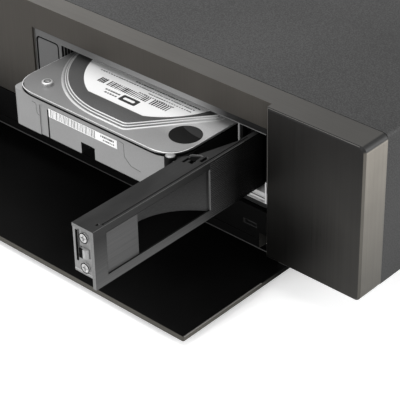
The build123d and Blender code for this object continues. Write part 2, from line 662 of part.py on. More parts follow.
with BuildPart() as lever_body:
    with BuildSketch(Plane.XY.offset(arm_z0)):
        with BuildLine():
            Polyline((arm_x1, arm_y0), (arm_x1, pin_y + knuckle_r), (pin_x, pin_y + knuckle_r),
                     (pin_x, leg_run_y), (arm_x1 - arm_thin, leg_run_y),
                     (arm_x1 - arm_thin, thin_y), (arm_x0 + 4.0, waist_y), (arm_x0, waist_y - 6.0),
                     (arm_x0, arm_y0), (arm_x1, arm_y0))
        make_face()
        with Locations((pin_x, pin_y)):
            Circle(knuckle_r)
    extrude(amount=arm_h)
    with BuildSketch(Plane.XY.offset(arm_z0)):
        with Locations((pin_x, pin_y)):
            Circle(pin_r + pin_run)
    extrude(amount=arm_h, mode=Mode.SUBTRACT)
    # shallow frame window on the outer face
    with Locations((arm_x1 - plate_back, win_y0, win_z0)):
        Box(plate_back, win_l, win_z1 - win_z0, align=LOW, mode=Mode.SUBTRACT)
    # pocket for the flat plate
    with Locations((arm_x1 - plate_back - 1.2, win_y0, win_z0)):
        Box(plate_back + 1.2, plate_l + 0.4, win_z1 - win_z0, align=LOW, mode=Mode.SUBTRACT)
    # finger scoop: curved back wall, floor rising inwards
    with BuildSketch(Plane.XY.offset(win_z0)):
        with BuildLine():
            Line((arm_x1, win_y1), (arm_x1, plate_y1 + 0.4))
            Line((arm_x1, plate_y1 + 0.4), (arm_x1 - scoop_depth, plate_y1 + 0.4))
            Spline((arm_x1 - scoop_depth, plate_y1 + 0.4),
                   (arm_x1 - 0.95 * scoop_depth, plate_y1 + 0.4 + 14.0),
                   (arm_x1 - 0.62 * scoop_depth, plate_y1 + 0.4 + 28.0),
                   (arm_x1, win_y1))
        make_face()
    extrude(amount=win_z1 - win_z0, mode=Mode.SUBTRACT)
    # inner part of the lever is less tall than its outer skin
    with Locations((arm_x0 - 1.0, arm_y0, arm_z0)):
        Box(arm_t + 1.0 - skin_t, arm_y_len, skirt_h, align=LOW, mode=Mode.SUBTRACT)
    # side wall and end wall set back under the top cap
    with Locations((arm_x0, arm_y0, arm_z0 + skirt_h + cap_t)):
        Box(cap_over, arm_y_len, arm_h - skirt_h - 2 * cap_t, align=LOW, mode=Mode.SUBTRACT)
    with Locations((arm_x0, arm_y0, arm_z0 + skirt_h)):
        Box(arm_t - skin_t, end_deep, arm_h - skirt_h - cap_t, align=LOW, mode=Mode.SUBTRACT)
    # groove beside the rim of the top face
    with Locations((arm_x1 - rim_in - groove, arm_y0 + 7.0, arm_z1 - groove)):
        Box(groove, arm_reach - 12.0, groove, align=LOW, mode=Mode.SUBTRACT)
    # moulding slots in the top face
    for sx, sy, sw, sl in top_slots:
        with Locations((arm_x1 - sx, arm_y0 + sy, arm_z1 - 2.0)):
            Box(sw, sl, 2.0, align=LOW, mode=Mode.SUBTRACT)
lever_body.part.label = "lever_body"
export_step(lever_body.part, "parts/lever_body.step")

with BuildPart() as scoop_floor:
    with BuildSketch(Plane.XY.offset(win_z0)):
        with BuildLine():
            Line((arm_x1, win_y1), (arm_x1, plate_y1 + 0.4))
            Line((arm_x1, plate_y1 + 0.4), (arm_x1 - scoop_depth, plate_y1 + 0.4))
            Spline((arm_x1 - scoop_depth, plate_y1 + 0.4),
                   (arm_x1 - 0.95 * scoop_depth, plate_y1 + 0.4 + 14.0),
                   (arm_x1 - 0.62 * scoop_depth, plate_y1 + 0.4 + 28.0),
                   (arm_x1, win_y1))
        make_face()
    extrude(amount=ramp_k * (scoop_depth - plate_back))
    with BuildSketch(Plane.XZ.offset(-arm_y0)):
        with Locations((0, 0)):
            with BuildLine():
                Polyline((arm_x1, win_z0), (arm_x1 - plate_back, win_z0),
                         (arm_x1 - scoop_depth - 2.0, win_z0 + ramp_k * (scoop_depth + 2.0 - plate_back)),
                         (arm_x1 - scoop_depth - 2.0, win_z1), (arm_x1, win_z1), (arm_x1, win_z0))
            make_face()
    extrude(amount=-arm_reach, mode=Mode.SUBTRACT)
    with Locations((arm_x1 - plate_back, plate_y1, win_z0)):
        Box(plate_back, win_l, win_z1 - win_z0, align=LOW, mode=Mode.SUBTRACT)
scoop_floor.part.label = "scoop_floor"
export_step(scoop_floor.part, "parts/scoop_floor.step")

with BuildPart() as lever_plate:
    with Locations((arm_x1 - plate_back - 1.2, win_y0, win_z0)):
        Box(1.2, plate_l, win_z1 - win_z0, align=LOW)
lever_plate.part.label = "lever_plate"
export_step(lever_plate.part, "parts/lever_plate.step")

# end plate with its screws, slot and catch
end_x0 = arm_x0 + cap_over
end_w = arm_x1 - skin_t - end_x0
end_z0 = arm_z0 + skirt_h
end_h = arm_h - skirt_h - cap_t
end_y = arm_y0 + end_deep - end_t
screw_x = end_x0 + end_w - 4.2
screw_zs = (end_z0 + 4.2, end_z0 + end_h - 3.6)
end_screw_r = 2.5
catch_z = (screw_zs[0] + screw_zs[1]) / 2
catch_w = 4.4
catch_h = 4.0
slot_x = end_x0 + 1.0
slot_h = 13.5
with BuildPart() as latch_plate:
    with Locations((end_x0, end_y, end_z0)):
        Box(end_w, end_t, end_h, align=LOW)
    with Locations((slot_x, end_y, end_z0 + end_h - slot_h - 0.8)):
        Box(1.0, end_t, slot_h, align=LOW, mode=Mode.SUBTRACT)
    with Locations((screw_x - catch_w / 2 - 0.6, end_y, catch_z - catch_h / 2 - 0.2)):
        Box(catch_w + 1.0, end_t, catch_h + 0.4, align=LOW, mode=Mode.SUBTRACT)
latch_plate.part.label = "latch_plate"
export_step(latch_plate.part, "parts/latch_plate.step")

with BuildPart() as latch_catch:
    with Locations((screw_x - catch_w / 2 + 0.4, end_y - catch_out, catch_z - catch_h / 2)):
        Box(catch_w - 0.4, end_t + catch_out, catch_h, align=LOW)
    tip = latch_catch.edges().filter_by(Axis.Z).group_by(Axis.Y)[0]
    chamfer(tip, length=1.1)
latch_catch.part.label = "latch_catch"
export_step(latch_catch.part, "parts/latch_catch.step")

with BuildPart() as latch_screws:
    for sz in screw_zs:
        with Locations(Location((screw_x, end_y, sz), (90, 0, 0))):
            Cylinder(end_screw_r, 0.9, align=CEN)
    fillet(latch_screws.edges().filter_by(GeomType.CIRCLE).group_by(Axis.Y)[0], radius=0.5)
    for sz in screw_zs:
        with Locations((screw_x, end_y - 0.9, sz)):
            Box(0.8, 0.6, 2.8, align=(Align.CENTER, Align.MIN, Align.CENTER), mode=Mode.SUBTRACT)
            Box(2.8, 0.6, 0.8, align=(Align.CENTER, Align.MIN, Align.CENTER), mode=Mode.SUBTRACT)
latch_screws.part.label = "latch_screws"
export_step(latch_screws.part, "parts/latch_screws.step")

pin_bush = 2.0
with BuildPart() as lever_pin:
    with Locations((pin_x, pin_y, cage_z0 + cage_wall)):
        Cylinder(pin_r, cage_z1 - cage_z0 - 2 * cage_wall, align=CEN)
    with Locations((pin_x, pin_y, cage_z0 + cage_wall)):
        Cylinder(knuckle_r, arm_z0 + skirt_run - cage_z0 - cage_wall, align=CEN)
lever_pin.part.label = "lever_pin"
export_step(lever_pin.part, "parts/lever_pin.step")

# ---- drive ------------------------------------------------------------------------------
gasket_t = 0.9
base_top = rim_z - drive_cover_t - gasket_t
cover_over = 0.7
face_step = 0.5
notch_x = drive_x0 + 43.4
notch_wide = 8.6
notch_tall = 6.0
seam_x = drive_x0 + 22.0
post_r = 2.7
post_in = 3.0
post_low = 1.0
pcb_t = 1.4
pcb_x0 = drive_x0 + 9.0
pcb_x1 = drive_x1 - 9.0
pcb_y0 = drive_y0 + 58.0
pcb_y1 = drive_y1 - 3.0
hole_r = 1.5
contact_x0 = drive_x0 + 27.0
contact_w = 38.0
contact_h = 6.0
contact_in = 0.4

with BuildPart() as drive_base:
    with Locations((drive_x0, drive_y0, drive_z0)):
        Box(drive_w, drive_l, base_top - drive_z0, align=LOW)
    fillet(drive_base.edges().filter_by(Axis.Z), radius=drive_body_r)
    with BuildSketch(Plane.XZ.offset(-drive_y0)):
        with BuildLine():
            Polyline((drive_x0 + 17.4, drive_z0), (drive_x0 + 17.4, drive_z0 + 16.4),
                     (drive_x0 + 71.0, drive_z0 + 16.4), (drive_x0 + 71.0, drive_z0 + 9.6),
                     (drive_x0 + 75.0, drive_z0 + 6.2), (drive_x0 + 81.0, drive_z0 + 5.6),
                     (drive_x0 + 81.0, drive_z0), (drive_x0 + 17.4, drive_z0))
        make_face()
        fillet(vertices().filter_by(lambda v: v.Y > drive_z0 + 4.0), radius=1.5)
    extrude(amount=-face_step, mode=Mode.SUBTRACT)
    with Locations((seam_x, drive_y0, drive_z0)):
        Box(0.9, 1.6, base_top - drive_z0 - 4.2, align=LOW, mode=Mode.SUBTRACT)
    with Locations((notch_x, drive_y0, drive_z0)):
        Box(notch_wide, 7.0, notch_tall, align=LOW, mode=Mode.SUBTRACT)
    with Locations((pcb_x0 - 0.6, pcb_y0 - 0.6, drive_z0)):
        Box(pcb_x1 - pcb_x0 + 1.2, pcb_y1 - pcb_y0 + 3.7, 2.6, align=LOW, mode=Mode.SUBTRACT)
    with Locations((contact_x0, pcb_y1 - 1.0, drive_z0 + 2.6)):
        Box(contact_w, drive_y1 - pcb_y1 + 1.0, contact_h, align=LOW, mode=Mode.SUBTRACT)
    for hy in (28.5, 70.1, 130.1):
        with Locations(Location((drive_x0, drive_y0 + hy, drive_z0 + 6.35), (0, 90, 0))):
            Cylinder(hole_r, 4.0, align=CEN, mode=Mode.SUBTRACT)
        with Locations(Location((drive_x1 - 4.0, drive_y0 + hy, drive_z0 + 6.35), (0, 90, 0))):
            Cylinder(hole_r, 4.0, align=CEN, mode=Mode.SUBTRACT)
    with Locations((drive_x1 - post_in, drive_y0 + post_in - 0.6, drive_z0 + 4.0)):
        Cylinder(post_r, rim_z - drive_cover_t - post_low - drive_z0 - 4.0, align=CEN)
drive_base.part.label = "drive_base"
export_step(drive_base.part, "parts/drive_base.step")

with BuildPart() as drive_gasket:
    with Locations((drive_x0 + 1.6, drive_y0 + 1.8, base_top)):
        Box(drive_w - 3.2, drive_l - 3.6, gasket_t, align=LOW)
    fillet(drive_gasket.edges().filter_by(Axis.Z), radius=drive_nose_r - 1.0)
drive_gasket.part.label = "drive_gasket"
export_step(drive_gasket.part, "parts/drive_gasket.step")

# pressed steps follow the platter, then cut back towards the right side
platter_x = drive_x0 + drive_w / 2 - 0.7
platter_y = drive_y0 + 52.6
ring_rs = (48.4, 47.4)
step_zs = (0.0, drive_step)
cut_in = (0.0, 1.0)
corner_in = 67.9
cover_end = 12.0
side_ledge = 7.4
with BuildPart() as drive_cover:
    with Locations((drive_x0 + 0.3, drive_y0 - cover_over, rim_z - drive_cover_t)):
        Box(drive_w - 0.6, drive_l + cover_over - 0.6, drive_cover_t, align=LOW)
    fillet(drive_cover.edges().filter_by(Axis.Z).group_by(Axis.Y)[0], radius=drive_nose_r)
    fillet(drive_cover.edges().filter_by(Axis.Z).group_by(Axis.Y)[-1], radius=4.0)
    for ring_r, step_z, inset in zip(ring_rs, step_zs, cut_in):
        left_x = platter_x - ring_r
        nose_y = platter_y - ring_r
        far_x = drive_x1 - side_ledge - inset
        far_y = drive_y1 - cover_end - inset
        with BuildSketch(Plane.XY.offset(rim_z + step_z)):
            with BuildLine():
                Line((left_x, far_y), (left_x, platter_y))
                RadiusArc((left_x, platter_y), (platter_x, nose_y), -ring_r)
                Line((platter_x, nose_y), (drive_x0 + corner_in - inset / 2, nose_y))
                Line((drive_x0 + corner_in - inset / 2, nose_y), (far_x, platter_y - 15.6))
                Line((far_x, platter_y - 15.6), (far_x, far_y))
                Line((far_x, far_y), (left_x, far_y))
            make_face()
            fillet(vertices().filter_by(lambda v: v.X > platter_x + 1.0 or v.Y > platter_y + 9.0),
                   radius=5.0)
        extrude(amount=drive_step)
        chamfer(drive_cover.faces().sort_by(Axis.Z)[-1].edges(), length=0.3)
drive_cover.part.label = "drive_cover"
export_step(drive_cover.part, "parts/drive_cover.step")

top_z = rim_z + 2 * drive_step
label_r = 38.6
label_t = 0.15
label_x = drive_x0 + 51.3
label_y = drive_y0 + 49.9
label_flat = drive_y0 + 15.3            # straight front edge of the label
label_l = 56.0                          # label centre to its rear edge
label_cut = 16.0
with BuildPart() as drive_label:
    with BuildSketch(Plane.XY.offset(top_z)):
        with Locations((label_x, label_y)):
            Circle(label_r)
            Rectangle(2 * label_r, label_l, align=(Align.CENTER, Align.MIN))
        with Locations((label_x, label_flat)):
            Rectangle(2 * label_r, label_r, align=(Align.CENTER, Align.MAX), mode=Mode.SUBTRACT)
        with Locations((label_x + label_r, label_y + label_l)):
            Rectangle(label_cut, label_cut, rotation=45, mode=Mode.SUBTRACT)
    extrude(amount=label_t)
drive_label.part.label = "drive_label"
export_step(drive_label.part, "parts/drive_label.step")

seal_r = 7.5
with BuildPart() as drive_seal:
    with Locations((drive_x0 + 92.0, drive_y0 + 17.4, rim_z)):
        Cylinder(seal_r, label_t, align=CEN)
drive_seal.part.label = "drive_seal"
export_step(drive_seal.part, "parts/drive_seal.step")

code_w = 43.4
code_h = 4.3
with BuildPart() as code_label:
    with Locations((seam_x + 1.1, drive_y0 + face_step - label_t, drive_z0 + 11.4)):
        Box(code_w, label_t, code_h, align=LOW)
code_label.part.label = "code_label"
export_step(code_label.part, "parts/code_label.step")

tap_r = 2.7
tap_spots = ((13.6, 9.4), (98.0, 58.0), (98.0, 112.0), (8.0, 141.0), (93.6, 141.0))
with BuildPart() as drive_screws:
    with Locations(*[(drive_x0 + x, drive_y0 + y, rim_z) for x, y in tap_spots]):
        Cylinder(tap_r, 1.6, align=CEN)
    fillet(drive_screws.edges().filter_by(GeomType.CIRCLE).group_by(Axis.Z)[-1], radius=0.5)
    with Locations(*[(drive_x0 + x, drive_y0 + y, rim_z + 0.8) for x, y in tap_spots]):
        Cylinder(1.3, 0.8, align=CEN, mode=Mode.SUBTRACT)
drive_screws.part.label = "drive_screws"
export_step(drive_screws.part, "parts/drive_screws.step")

with BuildPart() as drive_board:
    with Locations((pcb_x0, pcb_y0, drive_z0 + 2.6 - pcb_t)):
        Box(pcb_x1 - pcb_x0, pcb_y1 - pcb_y0, pcb_t, align=LOW)
drive_board.part.label = "drive_board"
export_step(drive_board.part, "parts/drive_board.step")

with BuildPart() as drive_contacts:
    with Locations((contact_x0, pcb_y1 - 1.0, drive_z0 + 2.6)):
        Box(contact_w, drive_y1 - pcb_y1 + 1.0 - contact_in, contact_h, align=LOW)
drive_contacts.part.label = "drive_contacts"
export_step(drive_contacts.part, "parts/drive_contacts.step")

# ---- boards inside the case ---------------------------------------------------------------
post_h = 8.0
board_t = 1.6
board_x0 = -110.0
board_w = 218.0
board_l = 96.0
board_y0 = rear_y - sock_deep - board_l + 12.0
board_spots = [(board_x0 + dx, board_y0 + dy) for dx in (6.0, board_w - 6.0) for dy in (6.0, board_l - 6.0)]
with BuildPart() as main_board:
    with Locations((board_x0, board_y0, z0 + sheet + post_h)):
        Box(board_w, board_l, board_t, align=LOW)
main_board.part.label = "main_board"
export_step(main_board.part, "parts/main_board.step")

with BuildPart() as board_posts:
    with Locations(*[(x, y, z0 + sheet) for x, y in board_spots]):
        Cylinder(3.0, post_h, align=CEN)
board_posts.part.label = "board_posts"
export_step(board_posts.part, "parts/board_posts.step")
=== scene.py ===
"""Looks of a media player with a hard drive rack: finishes, small pieces, studio and camera."""

import json
import logging
import math
from dataclasses import dataclass
from enum import Enum
from typing import Iterable, Sequence

import bpy
from mathutils import Matrix, Vector

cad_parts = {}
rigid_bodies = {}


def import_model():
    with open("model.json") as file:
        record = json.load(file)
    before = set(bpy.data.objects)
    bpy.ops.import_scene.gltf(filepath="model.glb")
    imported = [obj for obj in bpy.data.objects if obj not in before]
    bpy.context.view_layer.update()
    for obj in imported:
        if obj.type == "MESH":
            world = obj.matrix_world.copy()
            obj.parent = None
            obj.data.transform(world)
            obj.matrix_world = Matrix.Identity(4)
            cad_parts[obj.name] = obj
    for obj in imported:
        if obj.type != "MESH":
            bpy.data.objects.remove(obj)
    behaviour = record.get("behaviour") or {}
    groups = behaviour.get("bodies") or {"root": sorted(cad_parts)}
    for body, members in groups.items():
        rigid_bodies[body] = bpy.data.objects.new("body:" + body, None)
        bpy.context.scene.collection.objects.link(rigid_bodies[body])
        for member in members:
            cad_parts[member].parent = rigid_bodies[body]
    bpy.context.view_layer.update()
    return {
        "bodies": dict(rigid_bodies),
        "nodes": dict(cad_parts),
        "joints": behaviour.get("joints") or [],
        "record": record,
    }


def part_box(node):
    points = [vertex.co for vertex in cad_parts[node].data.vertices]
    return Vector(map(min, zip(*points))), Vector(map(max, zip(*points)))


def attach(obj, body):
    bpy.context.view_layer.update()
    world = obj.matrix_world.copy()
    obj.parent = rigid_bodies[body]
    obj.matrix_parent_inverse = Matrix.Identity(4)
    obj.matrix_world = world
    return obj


LOG = logging.getLogger("media_player")
MM = 0.001
# Width of the eased rim of thin plates.
THIN_RIM = 0.02 * MM
Pair = tuple[float, float]
Colour = tuple[float, float, float]
Point = tuple[float, float, float]
Frame = tuple[float, float, float, float]
Path = tuple[Pair, ...]
Socket = bpy.types.NodeSocket
Object = bpy.types.Object
Material = bpy.types.Material


class Body(Enum):
    """Rigid bodies of the player that pieces ride on."""

    CASE = "chassis"
    DOOR = "flip_door"
    LEVER = "lever"
    DRIVE = "drive"
    EJECT = "eject_key"
    POWER = "power_key"


class Run(Enum):
    """Direction in which a brushed finish runs, as scales along X, Y and Z."""

    ALONG_X = (14.0, 2600.0, 2600.0)
    ALONG_Y = (2600.0, 14.0, 2600.0)
    ALONG_Z = (2600.0, 2600.0, 14.0)
    ALL_WAYS = (1500.0, 1500.0, 1500.0)


class Axis(Enum):
    """Axis of a turned piece, as the piece's own components that become X, Y and Z."""

    Y = (1, 2, 0)
    Z = (0, 1, 2)


def tone(red: float, green: float | None = None, blue: float | None = None) -> Colour:
    """Turns a display colour into a scene colour.

    Args:
        red: red level from 0 to 255, or the grey level when it stands alone.
        green: green level.
        blue: blue level.

    Returns:
        The linear colour.
    """
    levels = (red, red if green is None else green, red if blue is None else blue)
    out = []
    for level in levels:
        part = level / 255
        out.append(part / 12.92 if part <= 0.04045 else ((part + 0.055) / 1.055) ** 2.4)
    return out[0], out[1], out[2]


def scaled(colour: Colour, factor: float) -> Colour:
    """Returns the colour multiplied by a factor and kept below white."""
    return tuple(min(1.0, part * factor) for part in colour)


# ---- finishes -----------------------------------------------------------------------------------

# Noise values at which a finish has its darkest and its lightest shade.
NOISE_ENDS: Pair = (0.3, 0.7)
# Scale of the broad clouds in a plain finish, in cells per metre.
CLOUDS: Point = (35.0, 35.0, 35.0)
# Lean of a face along an axis, as a part of its normal, from which and at which it faces that way.
FACING: Pair = (0.4, 0.9)


class Wiring:
    """A shader node tree under construction."""

    def __init__(self, tree: bpy.types.NodeTree) -> None:
        """Empties the tree that a new material or world comes with."""
        self.nodes, self.links = tree.nodes, tree.links
        self.nodes.clear()

    def node(self, kind: str, *values: object, **settings: object) -> bpy.types.Node:
        """Adds a node.

        Args:
            kind: type of the node, without its prefix.
            *values: what its inputs take in order: a socket to link, a fixed value, or None.
            **settings: its properties.

        Returns:
            The node.
        """
        node = self.nodes.new("ShaderNode" + kind)
        for name, setting in settings.items():
            setattr(node, name, setting)
        for socket, value in zip(node.inputs, values):
            if isinstance(value, Socket):
                self.links.new(value, socket)
            elif value is not None:
                socket.default_value = value
        return node

    def calc(self, kind: str, first: Socket | float, second: Socket | float = 0.0) -> Socket:
        """Returns a Math node's result for two values, each a socket or a number."""
        return self.node("Math", first, second, operation=kind).outputs[0]

    def above(self, value: Socket, limit: float) -> Socket:
        """Returns the mask of where a value is over a limit."""
        return self.calc("GREATER_THAN", value, limit)

    def below(self, value: Socket, limit: float) -> Socket:
        """Returns the mask of where a value is under a limit."""
        return self.calc("LESS_THAN", value, limit)

    def both(self, first: Socket, second: Socket) -> Socket:
        """Returns the mask of where two masks are set."""
        return self.calc("MULTIPLY", first, second)

    def either(self, first: Socket, second: Socket) -> Socket:
        """Returns the mask of where one of two masks is set."""
        return self.calc("MAXIMUM", first, second)


class Shading(Wiring):
    """One material under construction: a Principled shader and what feeds it."""

    def __init__(self, name: str) -> None:
        """Starts an empty material.

        Args:
            name: name of the material.
        """
        self.material = bpy.data.materials.new(name)
        self.material.use_nodes = True
        super().__init__(self.material.node_tree)
        self.shader = self.node("BsdfPrincipled")
        self.out = self.node("OutputMaterial", self.shader.outputs["BSDF"])
        self.where = self.node("TexCoord")

    def fix(self, **sockets: float | Colour) -> None:
        """Sets shader sockets that are the same all over, with _ for a space in the name."""
        for name, value in sockets.items():
            socket = self.shader.inputs[name.replace("_", " ")]
            socket.default_value = (*value, 1.0) if isinstance(value, tuple) else value

    def feed(self, socket: str, value: Socket) -> None:
        """Links a value to a shader socket."""
        self.links.new(value, self.shader.inputs[socket])

    def axis(self, index: int, source: str = "Object") -> Socket:
        """Returns one component of Object coordinates, or of the object's Normal."""
        return self.node("SeparateXYZ", self.where.outputs[source]).outputs[index]

    def spot(self, scale: Sequence[float]) -> Socket:
        """Returns Object coordinates scaled along each axis."""
        return self.node("Mapping", self.where.outputs["Object"], None, None, scale).outputs[0]

    def noise(self, scale: Sequence[float], detail: float = 2.0, rough: float = 0.5) -> Socket:
        """Returns a noise value.

        Args:
            scale: scales along the three axes, in cells per metre.
            detail: number of finer layers.
            rough: weight of the finer layers.

        Returns:
            The socket with values around 0.5.
        """
        return self.node("TexNoise", self.spot(scale), None, 1.0, detail, rough).outputs["Fac"]

    def weigh(self, first: Socket, second: Socket, share: float) -> Socket:
        """Returns the mean of two values, share being the weight of the first."""
        return self.calc("ADD", self.calc("MULTIPLY", first, share),
                         self.calc("MULTIPLY", second, 1 - share))

    def fit(self, value: Socket, low: float, high: float, to_low: float, to_high: float) -> Socket:
        """Maps a value from one range to another and clamps it.

        Args:
            value: value to map.
            low: value at the lower end.
            high: value at the upper end.
            to_low: result at the lower end.
            to_high: result at the upper end.

        Returns:
            The result.
        """
        return self.node("MapRange", value, low, high, to_low, to_high).outputs[0]

    def ease(self, value: Socket, low: float, high: float) -> Socket:
        """Returns the mask that grows from 0 at the low value to 1 at the high one."""
        return self.fit(value, low, high, 0.0, 1.0)

    def turned(self, lean: Socket) -> Socket:
        """Returns the mask of the faces that lean far enough along an axis to face it."""
        return self.ease(lean, *FACING)

    def lean(self, index: int) -> Socket:
        """Returns how far a face leans along an axis, either way."""
        return self.calc("ABSOLUTE", self.axis(index, "Normal"))

    def ramp(self, value: Socket, dark: Colour, light: Colour, ends: Pair = NOISE_ENDS) -> Socket:
        """Returns a colour between a dark and a light one by a noise value.

        Args:
            value: noise value.
            dark: colour at the lower end.
            light: colour at the upper end.
            ends: noise values of the two ends.

        Returns:
            The colour.
        """
        node = self.node("ValToRGB", value)
        for element, place, colour in zip(node.color_ramp.elements, ends, (dark, light)):
            element.position = place
            element.color = (*colour, 1.0)
        return node.outputs["Color"]

    def shades(self, value: Socket, colour: Colour, spread: float, ends: Pair = NOISE_ENDS) -> Socket:
        """Returns a colour made darker and lighter by a share of it, by a noise value."""
        return self.ramp(value, scaled(colour, 1 - spread), scaled(colour, 1 + spread), ends)

    def blend(self, mask: Socket, first: Socket | Colour, second: Socket | Colour) -> Socket:
        """Returns the first colour where the mask is 0 and the second where it is 1."""
        pair = [(*colour, 1.0) if isinstance(colour, tuple) else colour for colour in (first, second)]
        return self.node("Mix", mask, *[None] * 5, *pair, data_type="RGBA").outputs[2]

    def dim(self, colour: Socket, factor: Socket) -> Socket:
        """Returns a colour scaled by a value that changes across the piece."""
        return self.node("VectorMath", colour, None, None, factor, operation="SCALE").outputs[0]

    def tint(self, colour: Socket, other: Socket) -> Socket:
        """Returns the product of two colours."""
        return self.node("VectorMath", colour, other, operation="MULTIPLY").outputs[0]

    def relief(self, height: Socket, depth: float, strength: float, edge: float) -> None:
        """Gives the surface its fine relief and softly rounded edges.

        Args:
            height: height value of the relief.
            depth: depth of the relief in metres.
            strength: weight of the relief.
            edge: radius of the rounded edges in metres, 0 for none.
        """
        bump = self.node("Bump")
        bump.inputs["Strength"].default_value = strength
        bump.inputs["Distance"].default_value = depth
        self.links.new(height, bump.inputs["Height"])
        if edge > 0:
            rounding = self.node("Bevel", edge, samples=4)
            self.links.new(rounding.outputs["Normal"], bump.inputs["Normal"])
        self.feed("Normal", bump.outputs["Normal"])


@dataclass(frozen=True)
class Finish:
    """A plain finish with slight variation; the other finishes build on it."""

    name: str
    colour: Colour
    rough: float = 0.5
    metal: float = 0.0
    gloss: float = 0.5
    edge: float = 0.0
    spread: float = 0.12
    grain: float = 900.0
    depth: float = 0.02 * MM
    strength: float = 0.3

    def grit(self, s: Shading) -> Socket:
        """Returns the noise of the finish's fine grain."""
        return s.noise((self.grain,) * 3, detail=3.0, rough=0.7)

    def roughness(self, s: Shading, value: Socket, margin: float, swing: float) -> Socket:
        """Returns a roughness that swings with a noise value.

        Args:
            s: shading under construction.
            value: noise value.
            margin: distance from 0 and 1 at which the noise has its ends.
            swing: change of the roughness each way.

        Returns:
            The roughness.
        """
        return s.fit(value, margin, 1 - margin, self.rough - swing, self.rough + swing)

    def streaks(self, s: Shading, value: Socket, ends: Pair = NOISE_ENDS) -> Socket:
        """Returns a grey round 1, by which a colour is multiplied to streak it."""
        return s.ramp(value, (1 - self.spread,) * 3, (1 + self.spread,) * 3, ends)

    def clouds(self, s: Shading) -> Socket:
        """Adds a roughness that varies in broad clouds and returns their noise."""
        cloud = s.noise(CLOUDS, detail=4.0)
        s.feed("Roughness", self.roughness(s, cloud, margin=0.2, swing=0.04))
        return cloud

    def mottle(self, s: Shading, grit: Socket) -> Socket:
        """Returns the colour varied by clouds, in which the roughness varies too, and by grain."""
        return s.shades(s.weigh(self.clouds(s), grit, share=0.5), self.colour, self.spread)

    def paint(self, s: Shading) -> Socket | None:
        """Colours the surface and sets its roughness; each kind of finish has its own way.

        Args:
            s: shading under construction.

        Returns:
            The height of the surface's relief, or None for a surface without one.
        """
        grit = self.grit(s)
        s.feed("Base Color", self.mottle(s, grit))
        return grit

    def build(self) -> Material:
        """Builds the finish.

        Returns:
            The material.
        """
        s = Shading(self.name)
        s.fix(Metallic=self.metal, Specular_IOR_Level=self.gloss)
        height = self.paint(s)
        if height is not None:
            s.relief(height, self.depth, self.strength, self.edge)
        return s.material


@dataclass(frozen=True)
class Brushed(Finish):
    """Brushed metal: long fine scratches in one direction."""

    run: Run = Run.ALONG_X
    scratch: float = 0.35
    broader: float = 6.0

    def paint(self, s: Shading) -> Socket | None:
        """Colours the surface and returns the height of its relief."""
        streak = s.noise(self.run.value, detail=3.0, rough=0.65)
        broad = s.noise([scale / self.broader for scale in self.run.value])
        both = s.weigh(streak, broad, share=0.65)
        s.feed("Base Color", s.shades(both, self.colour, self.scratch))
        s.feed("Roughness", self.roughness(s, both, margin=0.25, swing=0.07))
        return both


@dataclass(frozen=True)
class Speckled(Finish):
    """Fine structured paint: a dense speckle of light and dark grains, painted shade from left to
    right.
    """

    left: float = 1.0
    left_x: float = -0.1
    right: float = 1.0
    right_x: float = 0.216
    patches: Point = (14.0, 14.0, 14.0)
    grain_ends: Pair = (0.42, 0.58)

    def paint(self, s: Shading) -> Socket | None:
        """Colours the surface and returns the height of its relief."""
        fine = s.noise((self.grain,) * 3, rough=0.8)
        mixed = s.weigh(fine, s.noise(self.patches), share=0.85)
        # painted shade: the grains are scaled from left to right
        across = s.fit(s.axis(0), self.left_x, self.right_x, self.left, self.right)
        grains = s.shades(mixed, self.colour, self.spread, self.grain_ends)
        s.feed("Base Color", s.dim(grains, across))
        s.feed("Roughness", self.roughness(s, fine, margin=0.3, swing=0.06))
        return fine


